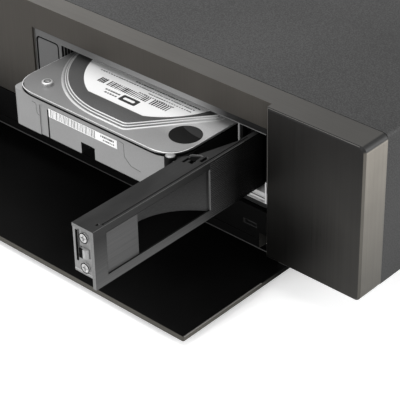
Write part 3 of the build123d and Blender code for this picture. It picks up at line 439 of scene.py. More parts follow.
@dataclass(frozen=True, kw_only=True)
class SatinFront(Finish):
    """Dark anodised front: brushed along X on top, with upright streaks on the upright faces.

    Each way that a face turns gets its own painted light: the top and the ends are painted lighter
    than the front, the eased edges and the bend over the front are painted dark against their
    highlights, and the upper front is painted darker. The top has painted shade towards the right
    end, the ends have painted shade towards the table, and the right block has a painted reflection
    that darkens it round its inner foot. The band set back between the blocks is a shade lighter.
    The colour itself is that of the blocks' lower front, and rough_rise dulls their upper front.
    """

    # painted light: the colours of the top, the ends, the eased edges, the bend over the front and the
    # upper front are one anodised metal as lit or shaded
    top: Colour
    top_end_shade: Colour
    side: Colour
    side_low_shade: Colour
    band: Colour
    turn: Colour
    ridge_shade: Colour
    upper: Colour
    band_y: float
    reflection_at: Point
    reflection_near: float = 0.008
    reflection_far: float = 0.038
    reflection_shade: float = 0.3
    reflection_squash: float = 0.6
    end_x: float = 0.2
    low_z: float = 0.02
    rise_z: float = 0.055
    high_z: float = 0.09
    rough_rise: float = 0.2
    streak_ends: Pair = (0.32, 0.68)
    bend_ends: Pair = (0.12, 0.3)
    upright: Point = (1500.0, 1500.0, 10.0)
    along: Point = (14.0, 1500.0, 1500.0)
    patches: Point = (60.0, 60.0, 60.0)

    def bend(self, s: Shading, lean: Socket) -> Socket:
        """Returns the mask of the eased edges between the top and the faces that lean one way."""
        return s.ease(s.both(s.calc("MAXIMUM", s.axis(2, "Normal")), lean), *self.bend_ends)

    def front(self, s: Shading, rise: Socket) -> Socket:
        """Returns the colour of the faces turned to the front.

        Args:
            s: shading under construction.
            rise: mask that grows towards the top.

        Returns:
            The colour of the blocks and of the band set back between them.
        """
        # painted reflection of the lever and door: the right block darkens round its inner foot
        x, y, z = self.reflection_at
        away = s.node("VectorMath", s.spot((1.0, 1.0, self.reflection_squash)),
                      (x, y, z * self.reflection_squash), operation="DISTANCE")
        foot = s.ease(away.outputs["Value"], self.reflection_near, self.reflection_far)
        plain = s.blend(rise, self.colour, self.upper)
        block = s.blend(foot, scaled(self.colour, self.reflection_shade), plain)
        return s.blend(s.above(s.axis(1), self.band_y), block, self.band)

    def paint(self, s: Shading) -> Socket | None:
        """Colours the surface and returns the height of its relief."""
        level, aside = s.turned(s.axis(2, "Normal")), s.lean(0)
        along = s.noise(self.along, detail=3.0, rough=0.65)
        fine = s.blend(level, s.noise(self.upright), along)
        both = s.weigh(fine, s.noise(self.patches, detail=3.0), share=0.7)
        rise = s.ease(s.axis(2), self.rise_z, self.high_z)
        # painted light and shade: the ends are lighter than the front and darker towards the table, the
        # top darker towards its right end
        ends = s.blend(s.ease(s.axis(2), self.low_z, self.high_z), self.side_low_shade, self.side)
        tops = s.blend(s.ease(s.axis(0), 0.0, self.end_x), self.top, self.top_end_shade)
        faces = s.blend(level, s.blend(s.turned(aside), self.front(s, rise), ends), tops)
        # painted shade on the eased edges and on the bend over the front, against their highlights
        edged = s.blend(self.bend(s, aside), faces, self.turn)
        plain = s.blend(self.bend(s, s.lean(1)), edged, self.ridge_shade)
        s.feed("Base Color", s.tint(plain, self.streaks(s, both, self.streak_ends)))
        rough = self.roughness(s, both, margin=0.25, swing=0.05)
        s.feed("Roughness", s.calc("ADD", rough, s.calc("MULTIPLY", rise, self.rough_rise)))
        return fine


@dataclass(frozen=True, kw_only=True)
class LeverFinish(Finish):
    """Lever moulding: fine ribs along it, dark at the tip's top, painted shade towards its hinge."""

    top: Colour
    foot: Colour
    tip: Colour
    dark: Colour
    tip_y: float
    mid_y: float
    hinge_from: float
    hinge_to: float
    tip_share: float = 0.75
    tip_ends: Pair = (-0.9, -0.5)
    patches: Point = (90.0, 34.0, 90.0)
    patch_ends: Pair = (0.32, 0.62)
    patch_share: float = 0.45
    foot_z: float = 0.05
    head_z: float = 0.072

    def paint(self, s: Shading) -> Socket | None:
        """Colours the surface and returns the height of its relief."""
        streak = s.noise(Run.ALONG_Y.value, detail=3.0, rough=0.65)
        rise = s.ease(s.axis(2), self.foot_z, self.head_z)
        end = s.fit(s.axis(1, "Normal"), *self.tip_ends, 1.0, 0.0)
        # painted light: the end faces at the tip take the lighter tip colour
        outer = s.blend(end, s.blend(rise, self.foot, self.colour), self.tip)
        # painted shade: the side darkens towards the hinge
        side = s.blend(s.ease(s.axis(1), self.hinge_from, self.hinge_to), outer, self.dark)
        near = s.fit(s.axis(1), self.tip_y, self.mid_y, self.tip_share, 1.0)
        cloud = s.fit(s.noise(self.patches), *self.patch_ends, self.patch_share, 1.0)
        upper = s.blend(s.both(near, cloud), self.dark, self.top)
        faces = s.blend(s.turned(s.axis(2, "Normal")), side, upper)
        s.feed("Base Color", s.tint(faces, self.streaks(s, streak)))
        s.feed("Roughness", self.roughness(s, streak, margin=0.25, swing=0.06))
        return streak


@dataclass(frozen=True, kw_only=True)
class CastBase(Finish):
    """Cast body of the drive, dark on its right side and on the open ledge of its right corner.

    The bend into the right side and the inner walls that face right are dark as well; all of
    this dark is painted shade.
    """

    dark: Colour
    side_x: float
    ledge_x: float
    ledge_y: float
    ledge_z: float
    bend_width: float = 2.6 * MM
    bend_lean: float = 0.3
    wall_x: float = 0.055
    wall_lean: float = 0.7

    def paint(self, s: Shading) -> Socket | None:
        """Colours the surface and returns the height of its relief."""
        grit = self.grit(s)
        cast = self.mottle(s, grit)
        x, right = s.axis(0), s.axis(0, "Normal")
        # painted shade: the right side, the bend into it, the inner walls that face right and the open
        # ledge
        bend = s.both(s.above(x, self.side_x - self.bend_width), s.above(right, self.bend_lean))
        wall = s.both(s.above(x, self.wall_x), s.above(right, self.wall_lean))
        side = s.either(s.above(x, self.side_x), s.either(bend, wall))
        inner = s.both(s.above(x, self.ledge_x), s.above(s.axis(1), self.ledge_y))
        ledge = s.both(inner, s.above(s.axis(2), self.ledge_z))
        s.feed("Base Color", s.blend(s.either(side, ledge), cast, self.dark))
        return grit


@dataclass(frozen=True, kw_only=True)
class BezelFinish(Finish):
    """Bezel moulding: grey that gets lighter to the right, then black at the right end.

    The sill under the mouth's right end is pale, down to its dark foot. The grey's lightening to
    the right and the pale sill are painted light; the black right end and the dark foot are
    painted shade.
    """

    sill: Colour
    dark: Colour
    fade_from: float
    fade_to: float
    sill_x: float
    sill_z: float
    sill_low: float
    rise_from: float = 0.05
    rise_to: float = 0.1
    rise: float = 2.5

    def paint(self, s: Shading) -> Socket | None:
        """Colours the surface and returns the height of its relief."""
        grit = self.grit(s)
        # painted light: the grey lightens to the right
        lift = s.fit(s.axis(0), self.rise_from, self.rise_to, 1.0, self.rise)
        plain = s.dim(s.shades(grit, self.colour, self.spread), lift)
        # painted shade: black at the right end
        shade = s.blend(s.ease(s.axis(0), self.fade_from, self.fade_to), plain, self.dark)
        # painted light on the sill, painted shade at its foot
        right = s.above(s.axis(0), self.sill_x)
        under = s.both(right, s.below(s.axis(2), self.sill_z))
        foot = s.both(right, s.below(s.axis(2), self.sill_low))
        s.feed("Base Color", s.blend(foot, s.blend(under, shade, self.sill), self.dark))
        s.fix(Roughness=self.rough)
        return grit


@dataclass(frozen=True, kw_only=True)
class PressedLid(Finish):
    """Blasted aluminium lid whose raised middle is darker and smoother than its rim.

    The rim's painted light makes it lighter to the right, with a painted sheen at its right end,
    behind sheen_y.
    """

    middle: Colour
    step_z: float
    sheen_y: float
    middle_spread: float = 0.25
    middle_smoother: float = 0.08
    level_ends: Pair = (0.90, 0.98)
    below_step: float = 0.05 * MM
    above_step: float = 0.02 * MM
    blast: float = 1700.0
    patches: Point = (30.0, 18.0, 30.0)
    left: float = 0.86
    left_x: float = 0.035
    right: float = 1.28
    right_x: float = 0.125
    sheen: float = 1.5
    sheen_from: float = 0.104
    sheen_to: float = 0.124
    sheen_ahead: float = 5 * MM
    sheen_behind: float = 10 * MM

    def paint(self, s: Shading) -> Socket | None:
        """Colours the surface and returns the height of its relief."""
        height = s.ease(s.axis(2), self.step_z - self.below_step, self.step_z + self.above_step)
        mask = s.both(height, s.ease(s.axis(2, "Normal"), *self.level_ends))
        fine = s.noise((self.blast,) * 3, detail=3.0, rough=0.7)
        mixed = s.weigh(fine, s.noise(self.patches, detail=3.0), share=0.45)
        # painted light: the rim lightens to the right, and a painted sheen adds to its right end
        across = s.fit(s.axis(0), self.left_x, self.right_x, self.left, self.right)
        right = s.both(s.ease(s.axis(0), self.sheen_from, self.sheen_to),
                       s.ease(s.axis(1), self.sheen_y - self.sheen_ahead,
                              self.sheen_y + self.sheen_behind))
        light = s.calc("ADD", across, s.calc("MULTIPLY", right, self.sheen))
        rim = s.dim(s.shades(mixed, self.colour, self.spread), light)
        raised = s.shades(mixed, self.middle, self.middle_spread)
        s.feed("Base Color", s.blend(mask, rim, raised))
        s.feed("Roughness", s.fit(mask, 0.0, 1.0, self.rough, self.rough - self.middle_smoother))
        return fine


@dataclass(frozen=True, kw_only=True)
class RingFinish(Finish):
    """Painted highlight of bright pressed metal, with another painted shade towards one end of its run.
    """

    dim: Colour
    dim_x: float = 0.037
    full_x: float = 0.06
    patches: Point = (160.0, 160.0, 160.0)

    def paint(self, s: Shading) -> Socket | None:
        """Colours the surface and returns the height of its relief."""
        cloud = s.noise(self.patches, detail=3.0)
        bright = s.shades(cloud, self.colour, self.spread)
        # painted shade: the highlight changes to the dim colour towards one end
        s.feed("Base Color", s.blend(s.ease(s.axis(0), self.dim_x, self.full_x), self.dim, bright))
        s.fix(Roughness=self.rough)
        return cloud


@dataclass(frozen=True, kw_only=True)
class DoorFinish(Finish):
    """Black door with a painted reflection on its front and side edges that fades towards the hinge."""

    edge_sheen: Colour
    edge_y: float
    edge_sheen_y: float
    dark_y: float
    front_lean: float = -0.4
    side_lean_squared: float = 0.5

    def paint(self, s: Shading) -> Socket | None:
        """Colours the surface and returns the height of its relief."""
        cloud, across = self.clouds(s), s.axis(0, "Normal")
        front = s.both(s.below(s.axis(1), self.edge_y), s.below(s.axis(1, "Normal"), self.front_lean))
        side = s.both(s.above(s.calc("MULTIPLY", across, across), self.side_lean_squared),
                      s.fit(s.axis(1), self.edge_sheen_y, self.dark_y, 1.0, 0.0))
        black = s.shades(cloud, self.colour, self.spread)
        # painted reflection on the door's front edge face and on its side edge faces, fading towards
        # the hinge
        s.feed("Base Color", s.blend(s.either(front, side), black, self.edge_sheen))
        return self.grit(s)


@dataclass(frozen=True)
class BoardFinish(Finish):
    """Circuit board: solder mask over faint straight tracks."""

    cells: Point = (160.0, 320.0, 320.0)
    seam: float = 0.09
    cell_shades: Pair = (1.5, 1.1)
    seam_shade: float = 0.7

    def paint(self, s: Shading) -> Socket | None:
        """Colours the surface and returns the height of its relief."""
        tracks = s.node("TexBrick", s.spot(self.cells))
        tracks.inputs["Scale"].default_value = 1.0
        tracks.inputs["Mortar Size"].default_value = self.seam
        for part, factor in zip(("Color1", "Color2", "Mortar"), (*self.cell_shades, self.seam_shade)):
            tracks.inputs[part].default_value = (*scaled(self.colour, factor), 1.0)
        s.feed("Base Color", tracks.outputs["Color"])
        s.fix(Roughness=self.rough)
        return s.noise((self.grain,) * 3)


@dataclass(frozen=True)
class Smoked(Finish):
    """Dark smoked window with a thin clear coat."""

    lighter: float = 1.6
    rougher: float = 0.05
    coat: float = 0.6
    patches: Point = (50.0, 50.0, 50.0)

    def paint(self, s: Shading) -> Socket | None:
        """Colours the surface and returns the height of its relief."""
        s.fix(Coat_Weight=self.coat, Coat_Roughness=0.05)
        cloud = s.noise(self.patches)
        s.feed("Base Color", s.ramp(cloud, self.colour, scaled(self.colour, self.lighter)))
        s.feed("Roughness", s.fit(cloud, 0.2, 0.8, self.rough, self.rough + self.rougher))
        return None


# ---- meshes -------------------------------------------------------------------------------------


class Workshop:
    """Makes mesh objects and hands each finished piece to the frame."""

    made = 0

    @staticmethod
    def mesh(name: str, points: Sequence[Sequence[float]], faces: Sequence[Sequence[int]],
             material: Material, smooth: bool = False) -> Object:
        """Makes an object from points and faces.

        Args:
            name: name of the object.
            points: corners in metres.
            faces: corner numbers of each face, facing outwards.
            material: its finish.
            smooth: whether it is shaded smooth.

        Returns:
            The object, linked into the scene.
        """
        data = bpy.data.meshes.new(name)
        data.from_pydata([tuple(p) for p in points], [], [tuple(f) for f in faces])
        data.materials.append(material)
        data.polygons.foreach_set("use_smooth", [smooth] * len(data.polygons))
        data.update()
        obj = bpy.data.objects.new(name, data)
        bpy.context.scene.collection.objects.link(obj)
        return obj

    @staticmethod
    def fit(obj: Object, body: Body, slot: str) -> None:
        """Gives a finished piece its body and reports it.

        Args:
            obj: the piece, already in place.
            body: the body it rides on.
            slot: material slot of the record; not used.
        """
        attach(obj, body.value)
        Workshop.made += 1
        LOG.info("piece %-18s on %-10s %6d faces", obj.name, body.value, len(obj.data.polygons))

    @staticmethod
    def lathe(name: str, profile: Sequence[Pair], centre: Sequence[float], axis: Axis,
              material: Material, steps: int = 40) -> Object:
        """Turns a closed profile round an axis.

        Args:
            name: name of the object.
            profile: (radius, height) pairs in millimetres, either from the axis at the bottom to
                the axis at the top, or round a ring and back to the first pair.
            centre: where height 0 of the profile is, in metres.
            axis: the direction in which height grows.
            material: its finish.
            steps: number of sides.

        Returns:
            The turned object.
        """
        points: list[Point] = []
        faces: list[tuple[int, ...]] = []
        rings: list[list[int]] = []
        for radius, height in profile:
            ring = []
            for k in range(steps if radius > 0 else 1):
                turn, reach = 2 * math.pi * k / steps, radius * MM
                ring.append(len(points))
                points.append((reach * math.cos(turn), reach * math.sin(turn), height * MM))
            rings.append(ring)
        for low, high in zip(rings, rings[1:]):
            for k in range(steps):
                a, b = low[k % len(low)], low[(k + 1) % len(low)]
                c, d = high[(k + 1) % len(high)], high[k % len(high)]
                faces.append(tuple(dict.fromkeys((a, b, c, d))))
        placed = [tuple(p[own] + start for own, start in zip(axis.value, centre)) for p in points]
        return Workshop.mesh(name, placed, faces, material, smooth=True)

    @staticmethod
    def plate(name: str, outline: Sequence[Pair], low: float, high: float,
              material: Material, rim: float = 0.0) -> Object:
        """Makes a flat plate from an outline seen from above, with an eased upper rim. All in metres.

        Args:
            name: name of the object.
            outline: (x, y) corners, anticlockwise.
            low: height of the underside.
            high: height of the top.
            material: its finish.
            rim: width of the eased rim.

        Returns:
            The plate.
        """
        count = len(outline)
        mid = Vector((sum(p[0] for p in outline), sum(p[1] for p in outline))) / count
        inner = []
        for x, y in outline:
            inward = mid - Vector((x, y))
            inner.append(Vector((x, y)) + inward.normalized() * rim)
        rings = [[(x, y, low) for x, y in outline], [(x, y, high - rim) for x, y in outline]]
        rings.append([(p.x, p.y, high) for p in inner])
        points = [p for ring in rings for p in ring]
        faces = [tuple(reversed(range(count))), tuple(range(2 * count, 3 * count))]
        for level in range(2):
            for k in range(count):
                a, b = level * count + k, level * count + (k + 1) % count
                faces.append((a, b, b + count, a + count))
        return Workshop.mesh(name, points, faces, material)

    @staticmethod
    def join(name: str, parts: Sequence[Object]) -> Object:
        """Joins objects into the first one.

        Args:
            name: new name of the object and its mesh.
            parts: the objects.

        Returns:
            The joined object.
        """
        for other in bpy.context.selected_objects:
            other.select_set(False)
        for part in parts:
            part.select_set(True)
        bpy.context.view_layer.objects.active = parts[0]
        if len(parts) > 1:
            bpy.ops.object.join()
        parts[0].name = name
        parts[0].data.name = name
        return parts[0]

    @staticmethod
    def whole(name: str, parts: Sequence[Object], body: Body, slot: str) -> None:
        """Joins parts into one named piece and gives it its body."""
        Workshop.fit(Workshop.join(name, parts), body, slot)


def facing_front(profile: Sequence[Pair]) -> list[Pair]:
    """Returns a lathe profile with its heights turned over, so that they grow towards the front."""
    return [(radius, -height) for radius, height in reversed(profile)]


def rectangle(x0: float, y0: float, x1: float, y1: float) -> list[Pair]:
    """Returns the corners of a rectangle, anticlockwise from its lowest one."""
    return [(x0, y0), (x1, y0), (x1, y1), (x0, y1)]


def rounded(corners: Sequence[Pair], radii: Sequence[float], steps: int = 8) -> list[Pair]:
    """Rounds the corners of a closed outline.

    Args:
        corners: (x, y) corners.
        radii: rounding of each corner, 0 for none.
        steps: points in each rounding.

    Returns:
        The points of the rounded outline.
    """
    longest = 0.49
    out: list[Pair] = []
    count = len(corners)
    for k in range(count):
        here = Vector(corners[k])
        back, ahead = Vector(corners[k - 1]) - here, Vector(corners[(k + 1) % count]) - here
        radius = radii[k]
        if radius <= 0:
            out.append(tuple(here))
            continue
        half = back.angle(ahead) / 2
        reach = min(radius / math.tan(half), back.length * longest, ahead.length * longest)
        first, last = here + back.normalized() * reach, here + ahead.normalized() * reach
        for step in range(steps + 1):
            t = step / steps
            point = first.lerp(here, t).lerp(here.lerp(last, t), t)
            out.append(tuple(point))
    return out


# ---- what repeats or follows a path: Geometry Nodes ---------------------------------------------


class Growth:
    """A Geometry Nodes tree: built once, then grown into plain meshes with different sizes."""

    def __init__(self, name: str) -> None:
        """Starts a tree with a geometry input and output.

        Args:
            name: name of the tree.
        """
        self.tree = bpy.data.node_groups.new(name, "GeometryNodeTree")
        face = self.tree.interface
        face.new_socket("Geometry", in_out="INPUT", socket_type="NodeSocketGeometry")
        face.new_socket("Geometry", in_out="OUTPUT", socket_type="NodeSocketGeometry")
        self.keys: dict[str, str] = {}
        self.source = self.tree.nodes.new("NodeGroupInput")
        self.sink = self.tree.nodes.new("NodeGroupOutput")

    def takes(self, kind: str, *names: str) -> None:
        """Adds inputs to the tree.

        Args:
            kind: kind of the inputs: Float, Int, Object or Material.
            *names: their names.
        """
        for name in names:
            made = self.tree.interface.new_socket(name, in_out="INPUT", socket_type=f"NodeSocket{kind}")
            self.keys[name] = made.identifier

    def add(self, kind: str, **settings: object) -> bpy.types.Node:
        """Adds a node.

        Args:
            kind: full type of the node.
            **settings: its properties.

        Returns:
            The node.
        """
        node = self.tree.nodes.new(kind)
        for key, value in settings.items():
            setattr(node, key, value)
        return node

    def wire(self, start: Socket, end: Socket) -> None:
        """Links two sockets."""
        self.tree.links.new(start, end)

    def feed(self, name: str, end: Socket) -> None:
        """Links a named input to a socket."""
        self.wire(self.source.outputs[name], end)

    def row(self, axis: int) -> Socket:
        """Adds a row of points, by the inputs Count and Pitch.

        Args:
            axis: 0, 1 or 2, the axis that the row follows.

        Returns:
            The points.
        """
        line = self.add("GeometryNodeMeshLine", mode="OFFSET")
        step = self.add("ShaderNodeCombineXYZ")
        self.feed("Count", line.inputs["Count"])
        self.feed("Pitch", step.inputs[axis])
        self.wire(step.outputs[0], line.inputs["Offset"])
        return line.outputs[0]

    def spread(self, points: Socket, part: Socket) -> bpy.types.Node:
        """Adds the node that puts a part on every point.

        Args:
            points: geometry with the points.
            part: geometry of the part.

        Returns:
            The node.
        """
        node = self.add("GeometryNodeInstanceOnPoints")
        self.wire(points, node.inputs["Points"])
        self.wire(part, node.inputs["Instance"])
        return node

    def close(self, shape: Socket) -> "Growth":
        """Ends the tree with Realize Instances and Set Material.

        Args:
            shape: geometry that leaves the tree.

        Returns:
            The tree itself.
        """
        self.takes("Material", "Finish")
        real = self.add("GeometryNodeRealizeInstances")
        paint = self.add("GeometryNodeSetMaterial")
        self.wire(shape, real.inputs[0])
        self.wire(real.outputs[0], paint.inputs[0])
        self.feed("Finish", paint.inputs["Material"])
        self.wire(paint.outputs[0], self.sink.inputs[0])
        return self

    def grow(self, name: str, finish: Material, place: Matrix | None = None,
             base: bpy.types.Mesh | None = None, **sizes: object) -> Object:
        """Grows one plain mesh object.

        Args:
            name: name of the object.
            finish: its material.
            place: where the tree's own origin goes.
            base: mesh that the tree starts from, or None for an empty one.
            **sizes: values of the named inputs.

        Returns:
            The object, its place in its mesh.
        """
        host_mesh = base if base is not None else bpy.data.meshes.new(name + "_host")
        host = bpy.data.objects.new(name + "_host", host_mesh)
        bpy.context.scene.collection.objects.link(host)
        modifier = host.modifiers.new("Growth", "NODES")
        modifier.node_group = self.tree
        modifier[self.keys["Finish"]] = finish
        for key, value in sizes.items():
            modifier[self.keys[key]] = value
        graph = bpy.context.evaluated_depsgraph_get()
        data = bpy.data.meshes.new_from_object(host.evaluated_get(graph), depsgraph=graph)
        host.modifiers.clear()
        bpy.data.objects.remove(host)
        if base is None:
            bpy.data.meshes.remove(host_mesh)
        data.name = name
        if place is not None:
            data.transform(place)
        obj = bpy.data.objects.new(name, data)
        bpy.context.scene.collection.objects.link(obj)
        return obj


def bar_tree() -> Growth:
    """Builds the tree for a row of printed bars: random widths, one height, along X.

    Returns:
        The tree, with inputs Count, Seed, Pitch, Narrow, Wide, Tall and Thick.
    """
    g = Growth("printed_bars")
    g.takes("Int", "Count", "Seed")
    g.takes("Float", "Pitch", "Narrow", "Wide", "Tall", "Thick")
    width = g.add("FunctionNodeRandomValue", data_type="FLOAT")
    g.feed("Narrow", width.inputs[2])
    g.feed("Wide", width.inputs[3])
    g.feed("Seed", width.inputs["Seed"])
    shape = g.add("ShaderNodeCombineXYZ")
    g.wire(width.outputs[1], shape.inputs[0])
    g.feed("Tall", shape.inputs[1])
    g.feed("Thick", shape.inputs[2])
    bars = g.spread(g.row(0), g.add("GeometryNodeMeshCube").outputs[0])
    g.wire(shape.outputs[0], bars.inputs["Scale"])
    return g.close(bars.outputs[0])


def rib_tree() -> Growth:
    """Builds the tree for round ribs that lie along X and repeat along Y.

    Returns:
        The tree, with inputs Count, Pitch, Length and Radius.
    """
    g = Growth("ribs")
    g.takes("Int", "Count")
    g.takes("Float", "Pitch", "Length", "Radius")
    rod = g.add("GeometryNodeMeshCylinder")
    rod.inputs["Vertices"].default_value = 8
    g.feed("Radius", rod.inputs["Radius"])
    g.feed("Length", rod.inputs["Depth"])
    ribs = g.spread(g.row(1), rod.outputs[0])
    ribs.inputs["Rotation"].default_value = (0.0, math.pi / 2, 0.0)
    return g.close(ribs.outputs[0])


def bead_tree() -> Growth:
    """Builds the tree for a round bead along the edges of the mesh that it is given.

    Returns:
        The tree, with the input Radius.
    """
    g = Growth("bead")
    g.takes("Float", "Radius")
    path = g.add("GeometryNodeMeshToCurve")
    g.feed("Geometry", path.inputs[0])
    ring = g.add("GeometryNodeCurvePrimitiveCircle")
    ring.inputs["Resolution"].default_value = 8
    g.feed("Radius", ring.inputs["Radius"])
    sweep = g.add("GeometryNodeCurveToMesh")
    sweep.inputs["Fill Caps"].default_value = True
    g.wire(path.outputs[0], sweep.inputs[0])
    g.wire(ring.outputs[0], sweep.inputs[1])
    return g.close(sweep.outputs[0])


def scatter_tree() -> Growth:
    """Builds the tree that puts one small part on every point of the mesh that it is given.

    Returns:
        The tree, with the input Part.
    """
    g = Growth("scattered_parts")
    g.takes("Object", "Part")
    part = g.add("GeometryNodeObjectInfo")
    g.feed("Part", part.inputs["Object"])
    parts = g.spread(g.source.outputs["Geometry"], part.outputs["Geometry"])
    return g.close(parts.outputs[0])


def path_mesh(points: Sequence[Sequence[float]], closed: bool) -> bpy.types.Mesh:
    """Makes a mesh of edges through points, for the bead tree.

    Args:
        points: the points in metres.
        closed: whether an edge joins the last point to the first.

    Returns:
        The mesh.
    """
    data = bpy.data.meshes.new("path")
    count = len(points)
    edges = [(k, (k + 1) % count) for k in range(count if closed else count - 1)]
    data.from_pydata([tuple(p) for p in points], edges, [])
    return data


def point_mesh(points: Iterable[Sequence[float]]) -> bpy.types.Mesh:
    """Makes a mesh of loose points, for the scatter tree.

    Args:
        points: the points in metres.

    Returns:
        The mesh.
    """
    data = bpy.data.meshes.new("points")
    data.from_pydata([tuple(p) for p in points], [], [])
    return data


def head_middles(node: Object, axis: int, level: float, reach: float) -> list[Vector]:
    """Finds the middle of each screw head of a node.

    Args:
        node: CAD node of several screws.
        axis: 0, 1 or 2, the axis along which the screws point.
        level: place along that axis of the flat tops of the heads.
        reach: distance in metres within which corners belong to one head.

    Returns:
        The middle of each head's top.
    """
    flatness = 0.3 * MM
    heads: list[list[Vector]] = []
    for vertex in node.data.vertices:
        if abs(vertex.co[axis] - level) > flatness:
            continue
        near = [head for head in heads if (head[0] - vertex.co).length < reach]
        if near:
            near[0].append(vertex.co.copy())
        else:
            heads.append([vertex.co.copy()])
    middles = []
    for head in heads:
        middle = Vector([(min(p[i] for p in head) + max(p[i] for p in head)) / 2 for i in range(3)])
        middle[axis] = level
        middles.append(middle)
    return middles


# ---- sub-assemblies -----------------------------------------------------------------------------


@dataclass(frozen=True)
class Places:
    """Turns millimetres, with y counted from the face of the end blocks, into scene points."""

    front_y: float

    def at(self, x: float, y: float, z: float) -> Vector:
        """Returns the scene point of a point in millimetres."""
        return Vector((x * MM, y * MM + self.front_y, z * MM))

    def flat(self, outline: Iterable[Pair]) -> list[Pair]:
        """Returns the scene outline of an outline in millimetres, seen from above."""
        return [tuple(self.at(x, y, 0.0).xy) for x, y in outline]


class Palette:
    """Every finish of the player by its slot name, built once."""

    # Finishes of the nodes that look different from the rest of their slot.
    OWN = {"service_port": "port_black", "latch_catch": "catch_grey", "hinge_pins": "black_steel",
           "code_label": "code_paper"}

    def __init__(self, record: dict, finishes: dict[str, Finish]) -> None:
        """Builds the materials.

        Args:
            record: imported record, which says which node takes which slot.
            finishes: finish of each slot.
        """
        self.slots = {entry["node"]: entry["material_slot"] for entry in record["subparts"]}
        self.materials = {name: finish.build() for name, finish in finishes.items()}

    def __getitem__(self, slot: str) -> Material:
        """Returns the material of a slot."""
        return self.materials[slot]

    def dress(self, nodes: dict[str, Object]) -> None:
        """Gives every CAD node the material of its slot, or its own from OWN.

        Args:
            nodes: the nodes by name.
        """
        for name, node in nodes.items():
            finish = self.OWN.get(name, self.slots[name])
            if not node.material_slots:
                node.data.materials.append(self.materials[finish])
            for slot in node.material_slots:
                slot.material = self.materials[finish]
            LOG.info("node  %-18s takes %s", name, finish)


@dataclass(frozen=True)
class Trees:
    """The Geometry Nodes trees that grow the small parts."""

    bars: Growth
    ribs: Growth
    bead: Growth
    scatter: Growth


@dataclass
class Assembly:
    """What every sub-assembly works with; sizes in their fields are in millimetres."""

    palette: Palette
    places: Places
    trees: Trees

    def spots(self, points: Iterable[Point]) -> list[Vector]:
        """Returns the scene points of points in millimetres."""
        return [self.places.at(*point) for point in points]

    def bead(self, points: Sequence[Vector], finish: str, radius: float,
             closed: bool = False) -> Object:
        """Grows a round bead along a path.

        Args:
            points: scene points of the path.
            finish: slot name of its finish.
            radius: its radius in millimetres.
            closed: whether the path returns to its start.

        Returns:
            The bead.
        """
        return self.trees.bead.grow("bead", self.palette[finish], base=path_mesh(points, closed),
                                    Radius=radius * MM)


@dataclass(frozen=True)
class BarRow:
    """One row of printed bars of random widths. Its lengths are in millimetres."""

    start: float
    end: float
    middle: float
    tall: float
    narrow: float
    wide: float
    count: int
    seed: int

    @property
    def pitch(self) -> float:
        """Returns the distance from bar to bar."""
        return (self.end - self.start) / self.count


